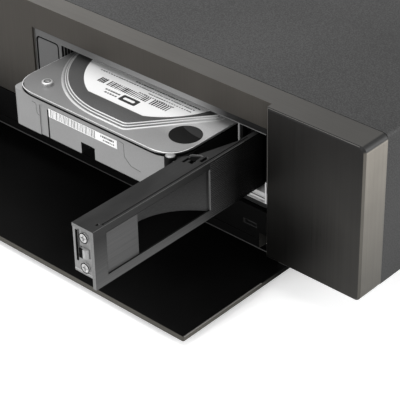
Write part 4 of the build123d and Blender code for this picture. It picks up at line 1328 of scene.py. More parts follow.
@dataclass
class HardDrive(Assembly):
    """Desktop drive on its sliding body: beads of the lid, label print, corner post and seal."""

    centre: Pair = (85.4, 23.8)
    ring_radius: float = 48.4
    ring_gap: float = 1.0
    arc_steps: int = 24
    corner_x: float = 103.2
    corner_round: float = 5.0
    side_x: float = 129.5
    side_y: float = 8.2
    rear_y: float = 106.2
    rim_z: float = 73.4
    step: float = 0.7
    bead_radius: float = 0.3
    bead_insets: Pair = (0.25, 0.3)
    bead_sink: float = 0.1
    flank_radius: float = 0.95
    flank_drop: float = 0.62
    flank_out: float = 1.1
    flank_end_y: float = 60.0
    nose_round: float = 14.0
    rolled_edge: Point = (0.12, 73.2, 0.22)
    joint_below: Point = (0.5, 71.6, 0.62)
    label_z: float = 74.95
    ink_thick: float = 0.05
    badge_at: Pair = (89.8, -7.9)
    badge_size: Pair = (10.2, 4.8)
    badge_bar: Pair = (6.6, 1.7)
    badge_bar_lift: float = 0.03
    badge_sink: float = 0.02
    badge_round: float = 0.7
    front_face: float = -28.8
    hook: Path = ((48.1, 68.3), (50.2, 68.2), (50.7, 67.6), (50.7, 65.6), (50.9, 63.6),
                              (51.6, 62.7), (52.6, 62.5))
    crease: Path = ((103.4, 69.0), (106.3, 68.5), (106.5, 62.0), (110.3, 58.7),
                                (116.3, 58.1))
    crease_radius: float = 0.1
    post: Pair = (133.0, -27.3)
    post_top: float = 72.7
    post_foot: Path = ((0.0, -13.0), (2.75, -13.0), (2.75, -0.4), (2.45, 0.0),
                                   (0.0, 0.05))
    post_dome: Path = ((0.0, -0.5), (2.25, -0.5), (2.25, 0.1), (1.95, 0.3),
                                   (1.35, 0.42), (0.0, 0.5))
    groove: Pair = (1.25, 1.7)
    groove_high: float = 0.1
    groove_ease: Pair = (0.1, 0.04)
    head_reach: float = 6.0
    seal_share: float = 0.97
    seal_from: float = 13.0
    seal_step: float = 5.4
    seal_steps: int = 24
    seal_bow: Pair = (-0.02, 0.2)
    seal_bow_steps: int = 14
    seal_heights: Pair = (-0.02, 0.04)

    def contour(self, inset: float) -> list[Pair]:
        """Traces the contour of a pressed step.

        Args:
            inset: distance in millimetres by which it is set in.

        Returns:
            The points of the contour in millimetres.
        """
        cx, cy = self.centre
        radius = self.ring_radius - inset
        arc = []
        for k in range(self.arc_steps + 1):
            turn = math.pi + k * math.pi / (2 * self.arc_steps)
            arc.append((cx + radius * math.cos(turn), cy + radius * math.sin(turn)))
        nose = cy - radius
        far_x, far_y = self.side_x - inset, self.rear_y - inset
        tail = [(self.corner_x - inset / 2, nose), (far_x, self.side_y), (far_x, far_y),
                (cx - radius, far_y)]
        return rounded(arc + tail, [0.0] * len(arc) + [self.corner_round] * len(tail))

    def beads(self) -> None:
        """Makes the two bright beads on the pressed steps, painted highlights of their edges."""
        outer, inner = self.bead_insets
        parts = []
        for count, inset in enumerate((outer, self.ring_gap + inner), start=1):
            height = self.rim_z + (count * self.step - self.bead_sink)
            points = self.spots((x, y, height) for x, y in self.contour(inset))
            parts.append(self.bead(points, "ring_bright", self.bead_radius, closed=True))
        Workshop.whole("lid_beads", parts, Body.DRIVE, "drive_lid")

    def sheen(self) -> None:
        """Makes the broad flank of the pressed ring on its front and right sides, a painted sheen."""
        points = self.spots((x, y, self.rim_z - self.flank_drop)
                            for x, y in self.contour(-self.flank_out) if y < self.flank_end_y)
        flank = self.bead(points, "sheen_metal", self.flank_radius)
        Workshop.whole("lid_flank", [flank], Body.DRIVE, "drive_lid")

    def strip(self, row: BarRow, start: Matrix, ink: str) -> Object:
        """Prints one row of bars.

        Args:
            row: its lengths, number and seed.
            start: place and turn of the middle of its first bar.
            ink: finish of the bars.

        Returns:
            The row.
        """
        return self.trees.bars.grow("row", self.palette[ink], start, Count=row.count,
                                    Pitch=row.pitch * MM, Narrow=row.narrow * MM,
                                    Wide=row.wide * MM, Tall=row.tall * MM,
                                    Thick=self.ink_thick * MM, Seed=row.seed)

    def print_label(self) -> None:
        """Prints the lid's label: rows of black bars and of grey, blank text lines."""
        heading = [BarRow(65.5, 70.0, -2.2, 4.0, 0.5, 0.9, 4, 3),
                   BarRow(71.5, 96.5, -2.2, 4.2, 0.4, 0.95, 20, 4),
                   BarRow(98.0, 109.0, -2.2, 4.4, 0.4, 0.9, 8, 5)]
        text = [BarRow(74.0, 83.4, -7.0, 1.0, 0.9, 1.5, 6, 11),
                BarRow(75.5, 83.4, -9.2, 1.0, 0.9, 1.5, 5, 12),
                BarRow(88.0, 109.5, 0.4, 0.7, 0.6, 1.3, 16, 13),
                BarRow(92.0, 118.0, 2.3, 0.6, 0.6, 1.5, 17, 14),
                BarRow(59.5, 118.5, 4.4, 0.6, 0.7, 1.7, 36, 15),
                BarRow(80.0, 119.5, 6.6, 0.7, 0.7, 1.7, 24, 16)]
        for k in range(7):
            y = 40.0 + 4.2 * k
            text.append(BarRow(58.0, 82.0 + 5 * (k % 3), y, 0.8, 0.7, 1.9, 18, 40 + k))
            text.append(BarRow(94.0, 112.0 + 4 * (k % 2), y, 0.8, 0.7, 1.9, 14, 60 + k))
        codes = [BarRow(58.0, 92.0, 26.0, 6.0, 0.25, 1.1, 34, 21),
                 BarRow(98.0, 116.0, 26.0, 6.0, 0.25, 1.1, 17, 22)]
        parts = []
        for rows, ink in ((heading, "label_ink"), (text, "label_grey"), (codes, "label_ink")):
            for row in rows:
                start = self.places.at(row.start + row.pitch / 2, row.middle, self.label_z)
                parts.append(self.strip(row, Matrix.Translation(start), ink))
        Workshop.whole("label_rows", parts, Body.DRIVE, "label_paper")

    def badge(self) -> None:
        """Makes the plain badge of the label: a dark block with a pale bar in it."""
        x, y = self.badge_at
        low, high = self.label_z - self.badge_sink, self.label_z + self.ink_thick
        parts = []
        for (width, depth), lift, ink in ((self.badge_size, 0.0, "label_dark"),
                                          (self.badge_bar, self.badge_bar_lift, "label_paper")):
            corners = rectangle(x - width / 2, y - depth / 2, x + width / 2, y + depth / 2)
            outline = self.places.flat(rounded(corners, [self.badge_round] * 4, steps=5))
            parts.append(Workshop.plate("badge", outline, low * MM, (high + lift) * MM,
                                        self.palette[ink], THIN_RIM))
        Workshop.whole("label_badge", parts, Body.DRIVE, "label_paper")

    def print_code(self) -> None:
        """Prints the bar code and the two blank lines of the small front label."""
        low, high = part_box("code_label")
        upright = Matrix.Rotation(math.pi / 2, 4, "X")
        rows = (BarRow(0.9, 30.0, 0.0, 3.7, 0.15, 0.55, 30, 7),
                BarRow(33.0, 41.8, 0.8, 1.0, 0.5, 1.1, 8, 8),
                BarRow(34.6, 41.8, -0.9, 0.8, 0.5, 1.0, 7, 9))
        parts = []
        for row in rows:
            x = low.x + row.start * MM + row.pitch * MM / 2
            start = Vector((x, low.y, (low.z + high.z) / 2 + row.middle * MM))
            parts.append(self.strip(row, Matrix.Translation(start) @ upright, "code_ink"))
        Workshop.whole("code_bars", parts, Body.DRIVE, "label_paper")

    def corner_post(self) -> None:
        """Makes the dark corner post with its bright domed cap."""
        top = self.places.at(*self.post, self.post_top)
        parts = [Workshop.lathe("post", profile, top, Axis.Z, self.palette[finish])
                 for profile, finish in ((self.post_foot, "post_dark"), (self.post_dome, "post_cap"))]
        Workshop.whole("corner_post", parts, Body.DRIVE, "drive_cast")

    def front_crease(self) -> None:
        """Makes the fine dark lines along the step and the hook of the front face."""
        parts = []
        for run in (self.crease, self.hook):
            points = self.spots((x, self.front_face, z) for x, z in run)
            parts.append(self.bead(points, "crease_grey", self.crease_radius))
        Workshop.whole("front_crease", parts, Body.DRIVE, "drive_cast")

    def lid_edge(self) -> None:
        """Makes the lid's rolled edge, bright as a painted highlight, and the dark joint under it."""
        low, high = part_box("drive_cover")
        parts = []
        for (inset, z, radius), finish in ((self.rolled_edge, "edge_bright"),
                                           (self.joint_below, "gap_black")):
            edge, nose = inset * MM, (self.nose_round - inset) * MM
            corners = [(low.x + edge, high.y), (low.x + edge, low.y + edge),
                       (high.x - edge, low.y + edge), (high.x - edge, high.y)]
            outline = rounded(corners, [0.0, nose, nose, 0.0], steps=14)
            points = [Vector((x, y, z * MM)) for x, y in outline]
            parts.append(self.bead(points, finish, radius))
        Workshop.whole("lid_edge", parts, Body.DRIVE, "drive_lid")

    def screw_grooves(self, screws: Object) -> None:
        """Makes the dark ring groove in the head of each lid screw.

        Args:
            screws: CAD node of the screws, whose highest points give their middles.
        """
        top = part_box("drive_screws")[1].z
        (inner, outer), high = self.groove, self.groove_high
        aside, down = self.groove_ease
        profile = [(inner, 0.0), (outer, 0.0), (outer, high - down), (outer - aside, high),
                   (inner + aside, high), (inner, high - down), (inner, 0.0)]
        grey = self.palette["crease_grey"]
        parts = [Workshop.lathe("groove", profile, middle, Axis.Z, grey, steps=28)
                 for middle in head_middles(screws, 2, top, self.head_reach * MM)]
        Workshop.whole("screw_grooves", parts, Body.DRIVE, "bright_screw")

    def seal_mark(self) -> None:
        """Makes the paler crescent at the far side of the round seal."""
        low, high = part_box("drive_seal")
        mid, radius = (low + high) / 2, (high.x - low.x) / 2
        reach = self.seal_share * radius
        outline = []
        for k in range(self.seal_steps + 1):
            turn = math.radians(self.seal_from + self.seal_step * k)
            outline.append((mid.x + reach * math.cos(turn), mid.y + reach * math.sin(turn)))
        first, last = Vector(outline[-1]), Vector(outline[0])
        bow = mid.xy + Vector(self.seal_bow) * radius
        for k in range(1, self.seal_bow_steps):
            t = k / self.seal_bow_steps
            outline.append(tuple(first.lerp(bow, t).lerp(bow.lerp(last, t), t)))
        z0, z1 = (high.z + rise * MM for rise in self.seal_heights)
        mark = Workshop.plate("seal_mark", outline, z0, z1, self.palette["seal_grey"])
        Workshop.fit(mark, Body.DRIVE, "seal_black")

    def build(self, screws: Object) -> None:
        """Builds every piece of the drive.

        Args:
            screws: CAD node of the lid screws.
        """
        self.screw_grooves(screws)
        self.beads()
        self.sheen()
        self.print_label()
        self.badge()
        self.print_code()
        self.corner_post()
        self.front_crease()
        self.lid_edge()
        self.seal_mark()


@dataclass
class RackLever(Assembly):
    """Swing-out lever: ribs at the hinge end, window lip, rail, opening and end plate."""

    face_x: float = 154.3
    rib_span: Pair = (-25.4, 8.0)
    rib_pitch: float = 0.9
    rib_radius: float = 0.2
    rib_margin: float = 0.8
    window: Frame = (-87.4, -26.0, 53.3, 73.6)
    lip_radius: float = 0.22
    rim_radius: float = 0.12
    rail_span: Pair = (-94.5, -4.0)
    rail_inset: Pair = (0.2, 0.1)
    rail_radius: float = 0.16
    slot: Frame = (143.6, -93.4, 59.0, 73.6)
    slot_radius: float = 0.55
    catch_gap: Frame = (-0.3, -0.1, 1.6, 0.4)
    catch_gap_high: float = 0.2
    flange: Frame = (141.5, -93.35, 143.4, -92.35)
    flange_rim: float = 0.1
    ledge_span: Pair = (141.8, 152.3)
    ledge_high: float = 1.4
    recess: Pair = (2.05, 2.4)
    recess_heights: Point = (-0.6, 0.08, 0.12)
    head_reach: float = 7.0
    opening: Path = ((145.5, -29.9), (149.0, -29.4), (148.6, -25.1), (145.2, -27.4))
    opening_heights: Pair = (-0.2, 0.06)
    border: Path = ((144.4, -27.6), (144.7, -26.2), (147.9, -24.2), (149.4, -24.4))
    edge_radius: float = 0.35

    def side_ribs(self) -> None:
        """Makes the fine level ribs on the outer face at the hinge end."""
        low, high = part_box("lever_body")
        y0, y1 = self.rib_span
        tall = high.z - low.z - 2 * self.rib_margin * MM
        start = self.places.at(self.face_x, (y0 + y1) / 2, 0.0)
        start.z = low.z + self.rib_margin * MM
        along = Matrix.Rotation(math.pi / 2, 4, "Z") @ Matrix.Rotation(math.pi / 2, 4, "X")
        ribs = self.trees.ribs.grow("lever_ribs", self.palette["rib_grey"],
                                    Matrix.Translation(start) @ along,
                                    Count=int(tall / (self.rib_pitch * MM)) + 1,
                                    Pitch=self.rib_pitch * MM, Length=(y1 - y0) * MM,
                                    Radius=self.rib_radius * MM)
        Workshop.fit(ribs, Body.LEVER, "lever_plastic")

    def window_lip(self) -> None:
        """Makes the lip round the scoop and window and the light rail along the upper edge."""
        x, top = self.face_x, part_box("lever_body")[1].z / MM
        y0, y1, z0, z1 = self.window
        inward, down = self.rail_inset
        # painted highlight: the lip's upright at the scoop's end
        lip = self.spots([(x, y1, z0), (x, y1, z1)])
        rim = self.spots([(x, y1, z1), (x, y0, z1), (x, y0, z0), (x, y1, z0)])
        # painted highlight: the light rail along the upper edge
        rail = self.spots((x - inward, y, top - down) for y in self.rail_span)
        parts = [self.bead(lip, "lip_grey", self.lip_radius),
                 self.bead(rim, "lever_plastic", self.rim_radius),
                 self.bead(rail, "rail_grey", self.rail_radius)]
        Workshop.whole("window_lip", parts, Body.LEVER, "lever_plastic")

    def catch_joint(self) -> Object:
        """Makes the dark joint round the catch.

        Returns:
            The joint, a part of the end plate's marks.
        """
        low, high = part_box("latch_catch")
        x0, y0, x1, y1 = (value * MM for value in self.catch_gap)
        corners = rectangle(low.x + x0, low.y + y0, low.x + x1, low.y + y1)
        above = self.catch_gap_high * MM
        return Workshop.plate("joint", corners, low.z - above, high.z + above,
                              self.palette["gap_black"], THIN_RIM)

    def end_plate(self, screws: Object) -> None:
        """Makes the slot, flange and ledge line of the end plate and the joints of catch and screws.

        Args:
            screws: CAD node of the two screws of the plate.
        """
        x, y, z0, z1 = self.slot
        low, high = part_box("latch_plate")
        # painted highlight: the light ledge line at the foot of the plate
        ledge = self.spots((end, y, low.z / MM + self.ledge_high) for end in self.ledge_span)
        parts = [self.bead(self.spots([(x, y, z0), (x, y, z1)]), "gap_black", self.slot_radius),
                 self.catch_joint(),
                 Workshop.plate("flange", self.places.flat(rectangle(*self.flange)), low.z, high.z,
                                self.palette["latch_grey"], self.flange_rim * MM),
                 self.bead(ledge, "catch_grey", self.edge_radius)]
        (inner, outer), (deep, rim, lip) = self.recess, self.recess_heights
        profile = [(inner, deep), (outer, deep), (outer, rim), (inner, lip), (inner, deep)]
        # dark ring round each screw head: the joint of its countersink, with the shadow in it painted
        for middle in head_middles(screws, 1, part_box("latch_screws")[0].y, self.head_reach * MM):
            parts.append(Workshop.lathe("recess", facing_front(profile), middle, Axis.Y,
                                        self.palette["gap_black"], steps=32))
        Workshop.whole("end_plate_marks", parts, Body.LEVER, "scoop_black")

    def top_frame(self) -> None:
        """Makes the dark opening near the hinge with the light border beside it."""
        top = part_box("lever_body")[1].z
        frame = self.bead(self.spots((x, y, top / MM) for x, y in self.border), "rail_grey",
                          self.edge_radius)
        z0, z1 = (top + rise * MM for rise in self.opening_heights)
        dark = Workshop.plate("opening", self.places.flat(self.opening), z0, z1,
                              self.palette["scoop_black"], THIN_RIM)
        Workshop.whole("top_frame", [frame, dark], Body.LEVER, "lever_plastic")

    def build(self, screws: Object) -> None:
        """Builds every piece of the lever.

        Args:
            screws: CAD node of the two screws of the end plate.
        """
        self.side_ribs()
        self.window_lip()
        self.end_plate(screws)
        self.top_frame()


@dataclass
class Rack(Assembly):
    """Fixed rack: guide fins in its mouth, the edges of its bezel and the joint of its key."""

    mouth_left: float = 33.0
    mouth_right: float = 159.0
    mouth_z: float = 78.2
    sill_zs: Pair = (54.0, 43.2)
    foot_line: Point = (158.6, 145.0, 5.2)
    edge_radius: float = 0.2
    sill_radius: float = 0.45
    rib_x: float = 143.3
    rib_foot_z: float = 48.0
    rib_radius: float = 0.5
    shade_sheet_zs: Pair = (47.8, 78.0)
    shade_sheet_thick: float = 0.3
    shade_sheet_inset: float = 0.2
    shade_sheet_rim: float = 0.05
    fin_count: int = 3
    fin_from: float = 1.4
    fin_pitch: float = 1.9
    fin_radius: float = 0.38
    fin_margin: float = 0.5
    key_gap: float = 0.25
    key_round: float = 2.0
    key_radius: float = 0.3

    def bezel_edges(self) -> None:
        """Makes the lines along the bezel: left and top edges, mouth, sill, foot and rib."""
        low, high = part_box("rack_bezel")
        left, right, mouth_z = self.mouth_left * MM, self.mouth_right * MM, self.mouth_z * MM
        sill_top, sill_foot = (z * MM for z in self.sill_zs)
        foot_right, foot_left, foot_high = (value * MM for value in self.foot_line)
        foot_z = low.z + foot_high
        # painted highlights on the left edge and the mouth's lip, painted light on the pale sill
        runs = (((low.x, low.z), (low.x, high.z), "edge_grey", self.edge_radius),
                ((low.x, high.z), (high.x, high.z), "gap_black", self.edge_radius),
                ((left, mouth_z), (right, mouth_z), "lip_grey", self.edge_radius),
                ((right, sill_top), (right, sill_foot), "sill_pale", self.sill_radius),
                ((foot_right, foot_z), (foot_left, foot_z), "crease_grey", self.edge_radius))
        parts = []
        for start, end, finish, radius in runs:
            parts.append(self.bead([Vector((x, low.y, z)) for x, z in (start, end)], finish, radius))
        # painted light: the bright rib under the mouth
        rib = [Vector((self.rib_x * MM, low.y + self.rib_radius * MM, z))
               for z in (mouth_z, self.rib_foot_z * MM)]
        parts.append(self.bead(rib, "catch_grey", self.rib_radius))
        Workshop.whole("bezel_edges", parts, Body.CASE, "bezel_plastic")

    def guide_fins(self) -> None:
        """Makes a dark sheet of painted shade at the left of the mouth and its upright guide fins."""
        low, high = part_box("rack_bezel")
        x, thick = self.mouth_left * MM, self.shade_sheet_thick * MM
        z0, z1 = (z * MM for z in self.shade_sheet_zs)
        margin = self.fin_margin * MM
        # painted shade: a black sheet where the inside of the mouth lies in shade
        parts = [Workshop.plate("liner", rectangle(x, low.y + self.shade_sheet_inset * MM, x + thick, high.y),
                                z0, z1, self.palette["gap_black"], self.shade_sheet_rim * MM)]
        for k in range(self.fin_count):
            y = low.y + (self.fin_from + self.fin_pitch * k) * MM
            points = [Vector((x + thick, y, z0 + margin)), Vector((x + thick, y, z1 - margin))]
            parts.append(self.bead(points, "fin_grey", self.fin_radius))
        Workshop.whole("guide_fins", parts, Body.CASE, "rail_plastic")

    def key_outline(self) -> None:
        """Makes the dark joint round the eject key."""
        low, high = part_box("eject_key")
        front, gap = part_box("rack_bezel")[0].y, self.key_gap * MM
        corners = rectangle(low.x - gap, low.z - gap, high.x + gap, high.z + gap)
        outline = rounded(corners, [self.key_round * MM] * 4, steps=6)
        points = [Vector((x, front, z)) for x, z in outline]
        joint = self.bead(points, "gap_black", self.key_radius, closed=True)
        Workshop.whole("key_joint", [joint], Body.CASE, "bezel_plastic")

    def build(self) -> None:
        """Builds every piece of the rack."""
        self.guide_fins()
        self.key_outline()
        self.bezel_edges()


@dataclass
class FrontBlocks(Assembly):
    """Front of the case: chamfer lines of the end blocks, panel seam and edges of the door."""

    chamfer_z: float = 56.0
    chamfer_radius: float = 0.16
    chamfer_end: float = 3.0
    face_depth: float = 0.05
    seam_radius: float = 0.2
    side_margin: float = 1.0
    door_front_margin: float = 0.6
    door_rear_margin: float = 24.0
    door_edge_radius: float = 0.3
    shade_strip_radius: float = 0.8

    def block_edges(self, frame_node: Object) -> None:
        """Makes the painted highlights on the blocks' chamfers and the seam under the lower panel.

        Args:
            frame_node: CAD node of the front, whose foremost faces give the blocks' edges.
        """
        low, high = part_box("front_frame")
        foremost, right = low.y + self.face_depth * MM, high.x / 2
        inner = min(v.co.x for v in frame_node.data.vertices if v.co.y < foremost and v.co.x > right)
        parts = []
        for side in (-1, 1):
            points = [Vector((side * inner, low.y, self.chamfer_z * MM)),
                      Vector((side * inner, low.y, high.z)),
                      Vector((side * (high.x - self.chamfer_end * MM), low.y, high.z))]
            # painted highlight along each chamfer
            parts.append(self.bead(points, "chamfer_grey", self.chamfer_radius))
        low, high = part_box("lower_panel")
        margin = self.side_margin * MM
        seam = [Vector((low.x + margin, low.y, low.z)), Vector((high.x - margin, low.y, low.z))]
        parts.append(self.bead(seam, "seam_grey", self.seam_radius))
        Workshop.whole("block_edges", parts, Body.CASE, "frame_black")

    def door_edges(self) -> None:
        """Makes painted highlights on the door's side edges and a strip of painted shade at its rear.
        """
        low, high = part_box("door_plate")
        front, rear = low.y + self.door_front_margin * MM, high.y - self.door_rear_margin * MM
        margin = self.side_margin * MM
        parts = []
        for side in (low.x, high.x):
            edge = [Vector((side, front, high.z)), Vector((side, rear, high.z))]
            # painted highlight on each side edge
            parts.append(self.bead(edge, "edge_grey", self.door_edge_radius))
        # painted shade: a black strip over the gap behind the door, where the case shades the floor
        shade_strip = [Vector((low.x + margin, high.y, high.z)), Vector((high.x - margin, high.y, high.z))]
        parts.append(self.bead(shade_strip, "gap_black", self.shade_strip_radius))
        Workshop.whole("door_edges", parts, Body.DOOR, "gloss_black")

    def build(self, frame_node: Object) -> None:
        """Builds every edge line of the blocks and of the door.

        Args:
            frame_node: CAD node of the front.
        """
        self.block_edges(frame_node)
        self.door_edges()


@dataclass
class RearSide(Assembly):
    """Back of the case: panel screws, socket contacts, coloured jack rings and dust filters.

    The spans of the slots and of the holes are counted from the frame's own origin.
    """

    panel_y: float = 288.0
    screw_xs: tuple[float, ...] = (-207.0, -118.0, 100.0, 207.0)
    screw_zs: Pair = (25.0, 89.0)
    screw_profile: Path = ((0.0, 0.0), (3.0, 0.0), (3.0, 0.5), (2.6, 1.1), (1.7, 1.5),
                                       (0.9, 1.6), (0.9, 0.7), (0.0, 0.7))
    pin_count: int = 8
    pin_pitch: float = 1.14
    pin_long: float = 7.0
    pin_radius: float = 0.3
    pin_start: Point = (4.0, -6.5, -3.4)
    tongue_half: float = 5.6
    tongue_ys: Pair = (8.0, 1.5)
    tongue_half_thick: float = 0.5
    tongue_rim: float = 0.1
    ring_profile: Path = ((4.5, 0.0), (6.6, 0.0), (6.6, 0.8), (6.2, 1.2), (4.9, 1.2),
                                      (4.5, 0.8), (4.5, 0.0))
    ring_at: Pair = (46.0, 49.0)
    ring_pitch: float = 16.0
    ring_columns: int = 3
    filter_inset: float = 3.0
    filter_thick: float = 1.6
    filter_rim: float = 0.3
    filter_zs: Pair = (32.0, 86.0)
    slot_ys: Pair = (12.0, 139.0)
    hole_xs: Pair = (114.0, 186.0)

    def screws(self) -> None:
        """Makes the pan-head screws of the rear panel."""
        steel = self.palette["black_steel"]
        head = Workshop.lathe("screw_head", self.screw_profile, (0, 0, 0), Axis.Y, steel, steps=20)
        spots = self.spots((x, self.panel_y, z) for x in self.screw_xs for z in self.screw_zs)
        made = self.trees.scatter.grow("rear_screws", steel, base=point_mesh(spots), Part=head)
        bpy.data.objects.remove(head)
        Workshop.fit(made, Body.CASE, "black_steel")

    def contacts(self) -> None:
        """Makes the gold contacts of the network socket and the tongue of the video socket."""
        low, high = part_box("lan_socket")
        x, y, z = (value * MM for value in self.pin_start)
        start = Vector(((low.x + high.x) / 2 + x, high.y + y, high.z + z))
        along = Matrix.Rotation(math.pi / 2, 4, "Z")
        pins = self.trees.ribs.grow("lan_contacts", self.palette["brass_post"],
                                    Matrix.Translation(start) @ along, Count=self.pin_count,
                                    Pitch=self.pin_pitch * MM, Length=self.pin_long * MM,
                                    Radius=self.pin_radius * MM)
        low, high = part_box("video_socket")
        middle, level = (low.x + high.x) / 2, (low.z + high.z) / 2
        half, thick = self.tongue_half * MM, self.tongue_half_thick * MM
        deep, near = (value * MM for value in self.tongue_ys)
        tongue = Workshop.plate("video_tongue",
                                rectangle(middle - half, high.y - deep, middle + half, high.y - near),
                                level - thick, level + thick, self.palette["black_plastic"],
                                self.tongue_rim * MM)
        Workshop.whole("socket_contacts", [pins, tongue], Body.CASE, "brass_post")

    def jack_rings(self) -> None:
        """Makes the coloured rings round the audio jacks."""
        x, z = self.ring_at
        parts = []
        for row, finish in enumerate(("ring_red", "ring_white")):
            for column in range(self.ring_columns):
                centre = self.places.at(x + self.ring_pitch * column, self.panel_y,
                                        z + self.ring_pitch * row)
                parts.append(Workshop.lathe("ring", self.ring_profile, centre, Axis.Y,
                                            self.palette[finish], steps=28))
        Workshop.whole("jack_rings", parts, Body.CASE, "black_plastic")

    def dust_filters(self) -> None:
        """Makes the foam filters behind the slots of both sides and behind the holes of the back."""
        low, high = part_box("top_cover")
        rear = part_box("rear_panel")[0].y
        inset, thick = self.filter_inset * MM, self.filter_thick * MM
        slot_front, slot_rear = (y * MM for y in self.slot_ys)
        hole_left, hole_right = (x * MM for x in self.hole_xs)
        z0, z1 = (z * MM for z in self.filter_zs)
        spans = [(low.x + inset, slot_front, low.x + inset + thick, slot_rear),
                 (high.x - inset - thick, slot_front, high.x - inset, slot_rear),
                 (hole_left, rear - inset, hole_right, rear - inset + thick)]
        parts = [Workshop.plate("filter", rectangle(*span), z0, z1, self.palette["filter_black"],
                                self.filter_rim * MM) for span in spans]
        Workshop.whole("dust_filters", parts, Body.CASE, "pad_rubber")

    def build(self) -> None:
        """Builds every piece of the back."""
        self.dust_filters()
        self.screws()
        self.contacts()
        self.jack_rings()


@dataclass
class Underside(Assembly):
    """Bottom of the case: the bright bands of the feet."""

    foot_x: float = 175.0
    foot_ys: Pair = (52.0, 254.0)
    band_profile: Path = ((17.4, 15.05), (18.5, 15.05), (18.65, 15.2), (18.65, 16.2),
                                      (18.5, 16.35), (17.4, 16.35), (17.4, 15.05))

    def build(self) -> None:
        """Makes the bright band in the groove of each foot."""
        bright = self.palette["bright_ring"]
        band = Workshop.lathe("band", self.band_profile, (0, 0, 0), Axis.Z, bright, steps=56)
        spots = self.spots((x, y, 0.0) for x in (-self.foot_x, self.foot_x) for y in self.foot_ys)
        made = self.trees.scatter.grow("foot_bands", bright, base=point_mesh(spots), Part=band)
        bpy.data.objects.remove(band)
        Workshop.fit(made, Body.CASE, "bright_ring")


@dataclass
class PowerKey(Assembly):
    """Key in the left end block, with a small lens in its middle."""

    lens_profile: Path = ((0.0, 0.0), (1.1, 0.0), (1.1, 0.25), (0.8, 0.4), (0.0, 0.42))

    def build(self) -> None:
        """Makes the lens of the key."""
        low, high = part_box("power_key")
        middle = (low + high) / 2
        lens = Workshop.lathe("key_lens", facing_front(self.lens_profile), (middle.x, low.y, middle.z),
                              Axis.Y, self.palette["lens_white"], steps=24)
        Workshop.fit(lens, Body.POWER, "bright_ring")


@dataclass(frozen=True)
class Studio:
    """Floor, light and camera: angles in degrees, the target in millimetres, the rest in metres."""

    azimuth: float = 42.797
    elevation: float = 33.318
    roll: float = -1.2
    target: Point = (124.352, 0.0, 32.644)
    distance: float = 0.741012
    lens: float = 147.69
    sensor: float = 36.0
    clip: Pair = (0.05, 30.0)
    world_light: float = 0.42
    floor_glow: float = 0.48
    floor_half: float = 6.0

    def camera(self, places: Places) -> None:
        """Sets the camera at its angle over the right end of the front.

        Args:
            places: turns millimetres into scene points.
        """
        az, el, roll = (math.radians(v) for v in (self.azimuth, self.elevation, self.roll))
        ahead = Vector((-math.sin(az) * math.cos(el), math.cos(az) * math.cos(el), -math.sin(el)))
        side = ahead.cross(Vector((0, 0, 1))).normalized()
        up = side.cross(ahead)
        right = side * math.cos(roll) + up * math.sin(roll)
        top = up * math.cos(roll) - side * math.sin(roll)
        data = bpy.data.cameras.new("camera")
        data.lens, data.sensor_width = self.lens, self.sensor
        data.clip_start, data.clip_end = self.clip
        camera = bpy.data.objects.new("camera", data)
        turn = Matrix((right, top, -ahead)).transposed().to_4x4()
        camera.matrix_world = Matrix.Translation(places.at(*self.target) - ahead * self.distance) @ turn
        bpy.context.scene.collection.objects.link(camera)
        bpy.context.scene.camera = camera

    @staticmethod
    def lamp(name: str, place: Point, aim: Point, size: Pair, power: float) -> None:
        """Adds one soft rectangular lamp.

        Args:
            name: name of the lamp.
            place: where it is, in metres.
            aim: the point that it faces.
            size: width and height in metres.
            power: power in watts.
        """
        data = bpy.data.lights.new(name, "AREA")
        data.shape, data.size, data.size_y, data.energy = "RECTANGLE", size[0], size[1], power
        lamp = bpy.data.objects.new(name, data)
        lamp.location = place
        lamp.rotation_euler = (Vector(aim) - Vector(place)).to_track_quat("-Z", "Y").to_euler()
        lamp.visible_camera = False
        bpy.context.scene.collection.objects.link(lamp)

    def surround(self) -> None:
        """Makes the pale surroundings: a soft grey light that is seen and mirrored as white."""
        world = bpy.data.worlds.new("surround")
        world.use_nodes = True
        w = Wiring(world.node_tree)
        plain = (1.0, 1.0, 1.0, 1.0)
        soft, white = w.node("Background", plain, self.world_light), w.node("Background", plain, 1.0)
        rays = w.node("LightPath").outputs
        seen = w.either(w.either(rays["Is Camera Ray"], rays["Is Glossy Ray"]),
                        rays["Is Transmission Ray"])
        mix = w.node("MixShader", seen, soft.outputs[0], white.outputs[0])
        w.node("OutputWorld", mix.outputs[0])
        bpy.context.scene.world = world

    def floor(self) -> None:
        """Makes the wide white floor, with a glow for camera rays that keeps the player's shadow."""
        s = Shading("floor_white")
        s.fix(Base_Color=(0.9, 0.9, 0.9), Roughness=0.9, Specular_IOR_Level=0.1)
        glow = s.node("Emission", None, self.floor_glow)
        both = s.node("AddShader", s.shader.outputs[0], glow.outputs[0])
        seen = s.node("LightPath").outputs["Is Camera Ray"]
        gate = s.node("MixShader", seen, s.shader.outputs[0], both.outputs[0])
        s.links.new(gate.outputs[0], s.out.inputs["Surface"])
        half = self.floor_half
        corners = [(x, y, 0.0) for x, y in rectangle(-half, -half, half, half)]
        ground = Workshop.mesh("floor", corners, [(0, 1, 2, 3)], s.material)

    def build(self, places: Places) -> None:
        """Builds floor, surroundings, lamps and camera.

        Args:
            places: turns millimetres into scene points.
        """
        self.floor()
        self.surround()
        self.lamp("key_lamp", place=(1.25, 0.85, 0.42), aim=(0.2, -0.05, 0.05), size=(0.9, 0.6),
                  power=26.0)
        self.lamp("top_lamp", place=(-0.35, -0.1, 1.5), aim=(0.05, -0.05, 0.05), size=(1.3, 1.3),
                  power=20.0)
        self.lamp("front_lamp", place=(0.0, -1.4, 0.5), aim=(0.09, -0.1, 0.06), size=(1.0, 0.3),
                  power=6.0)
        self.camera(places)


# ---- finishes of the slots ----------------------------------------------------------------------


def named(*finishes: Finish) -> dict[str, Finish]:
    """Returns the finishes of slots that bear the finish's own name."""
    return {finish.name: finish for finish in finishes}


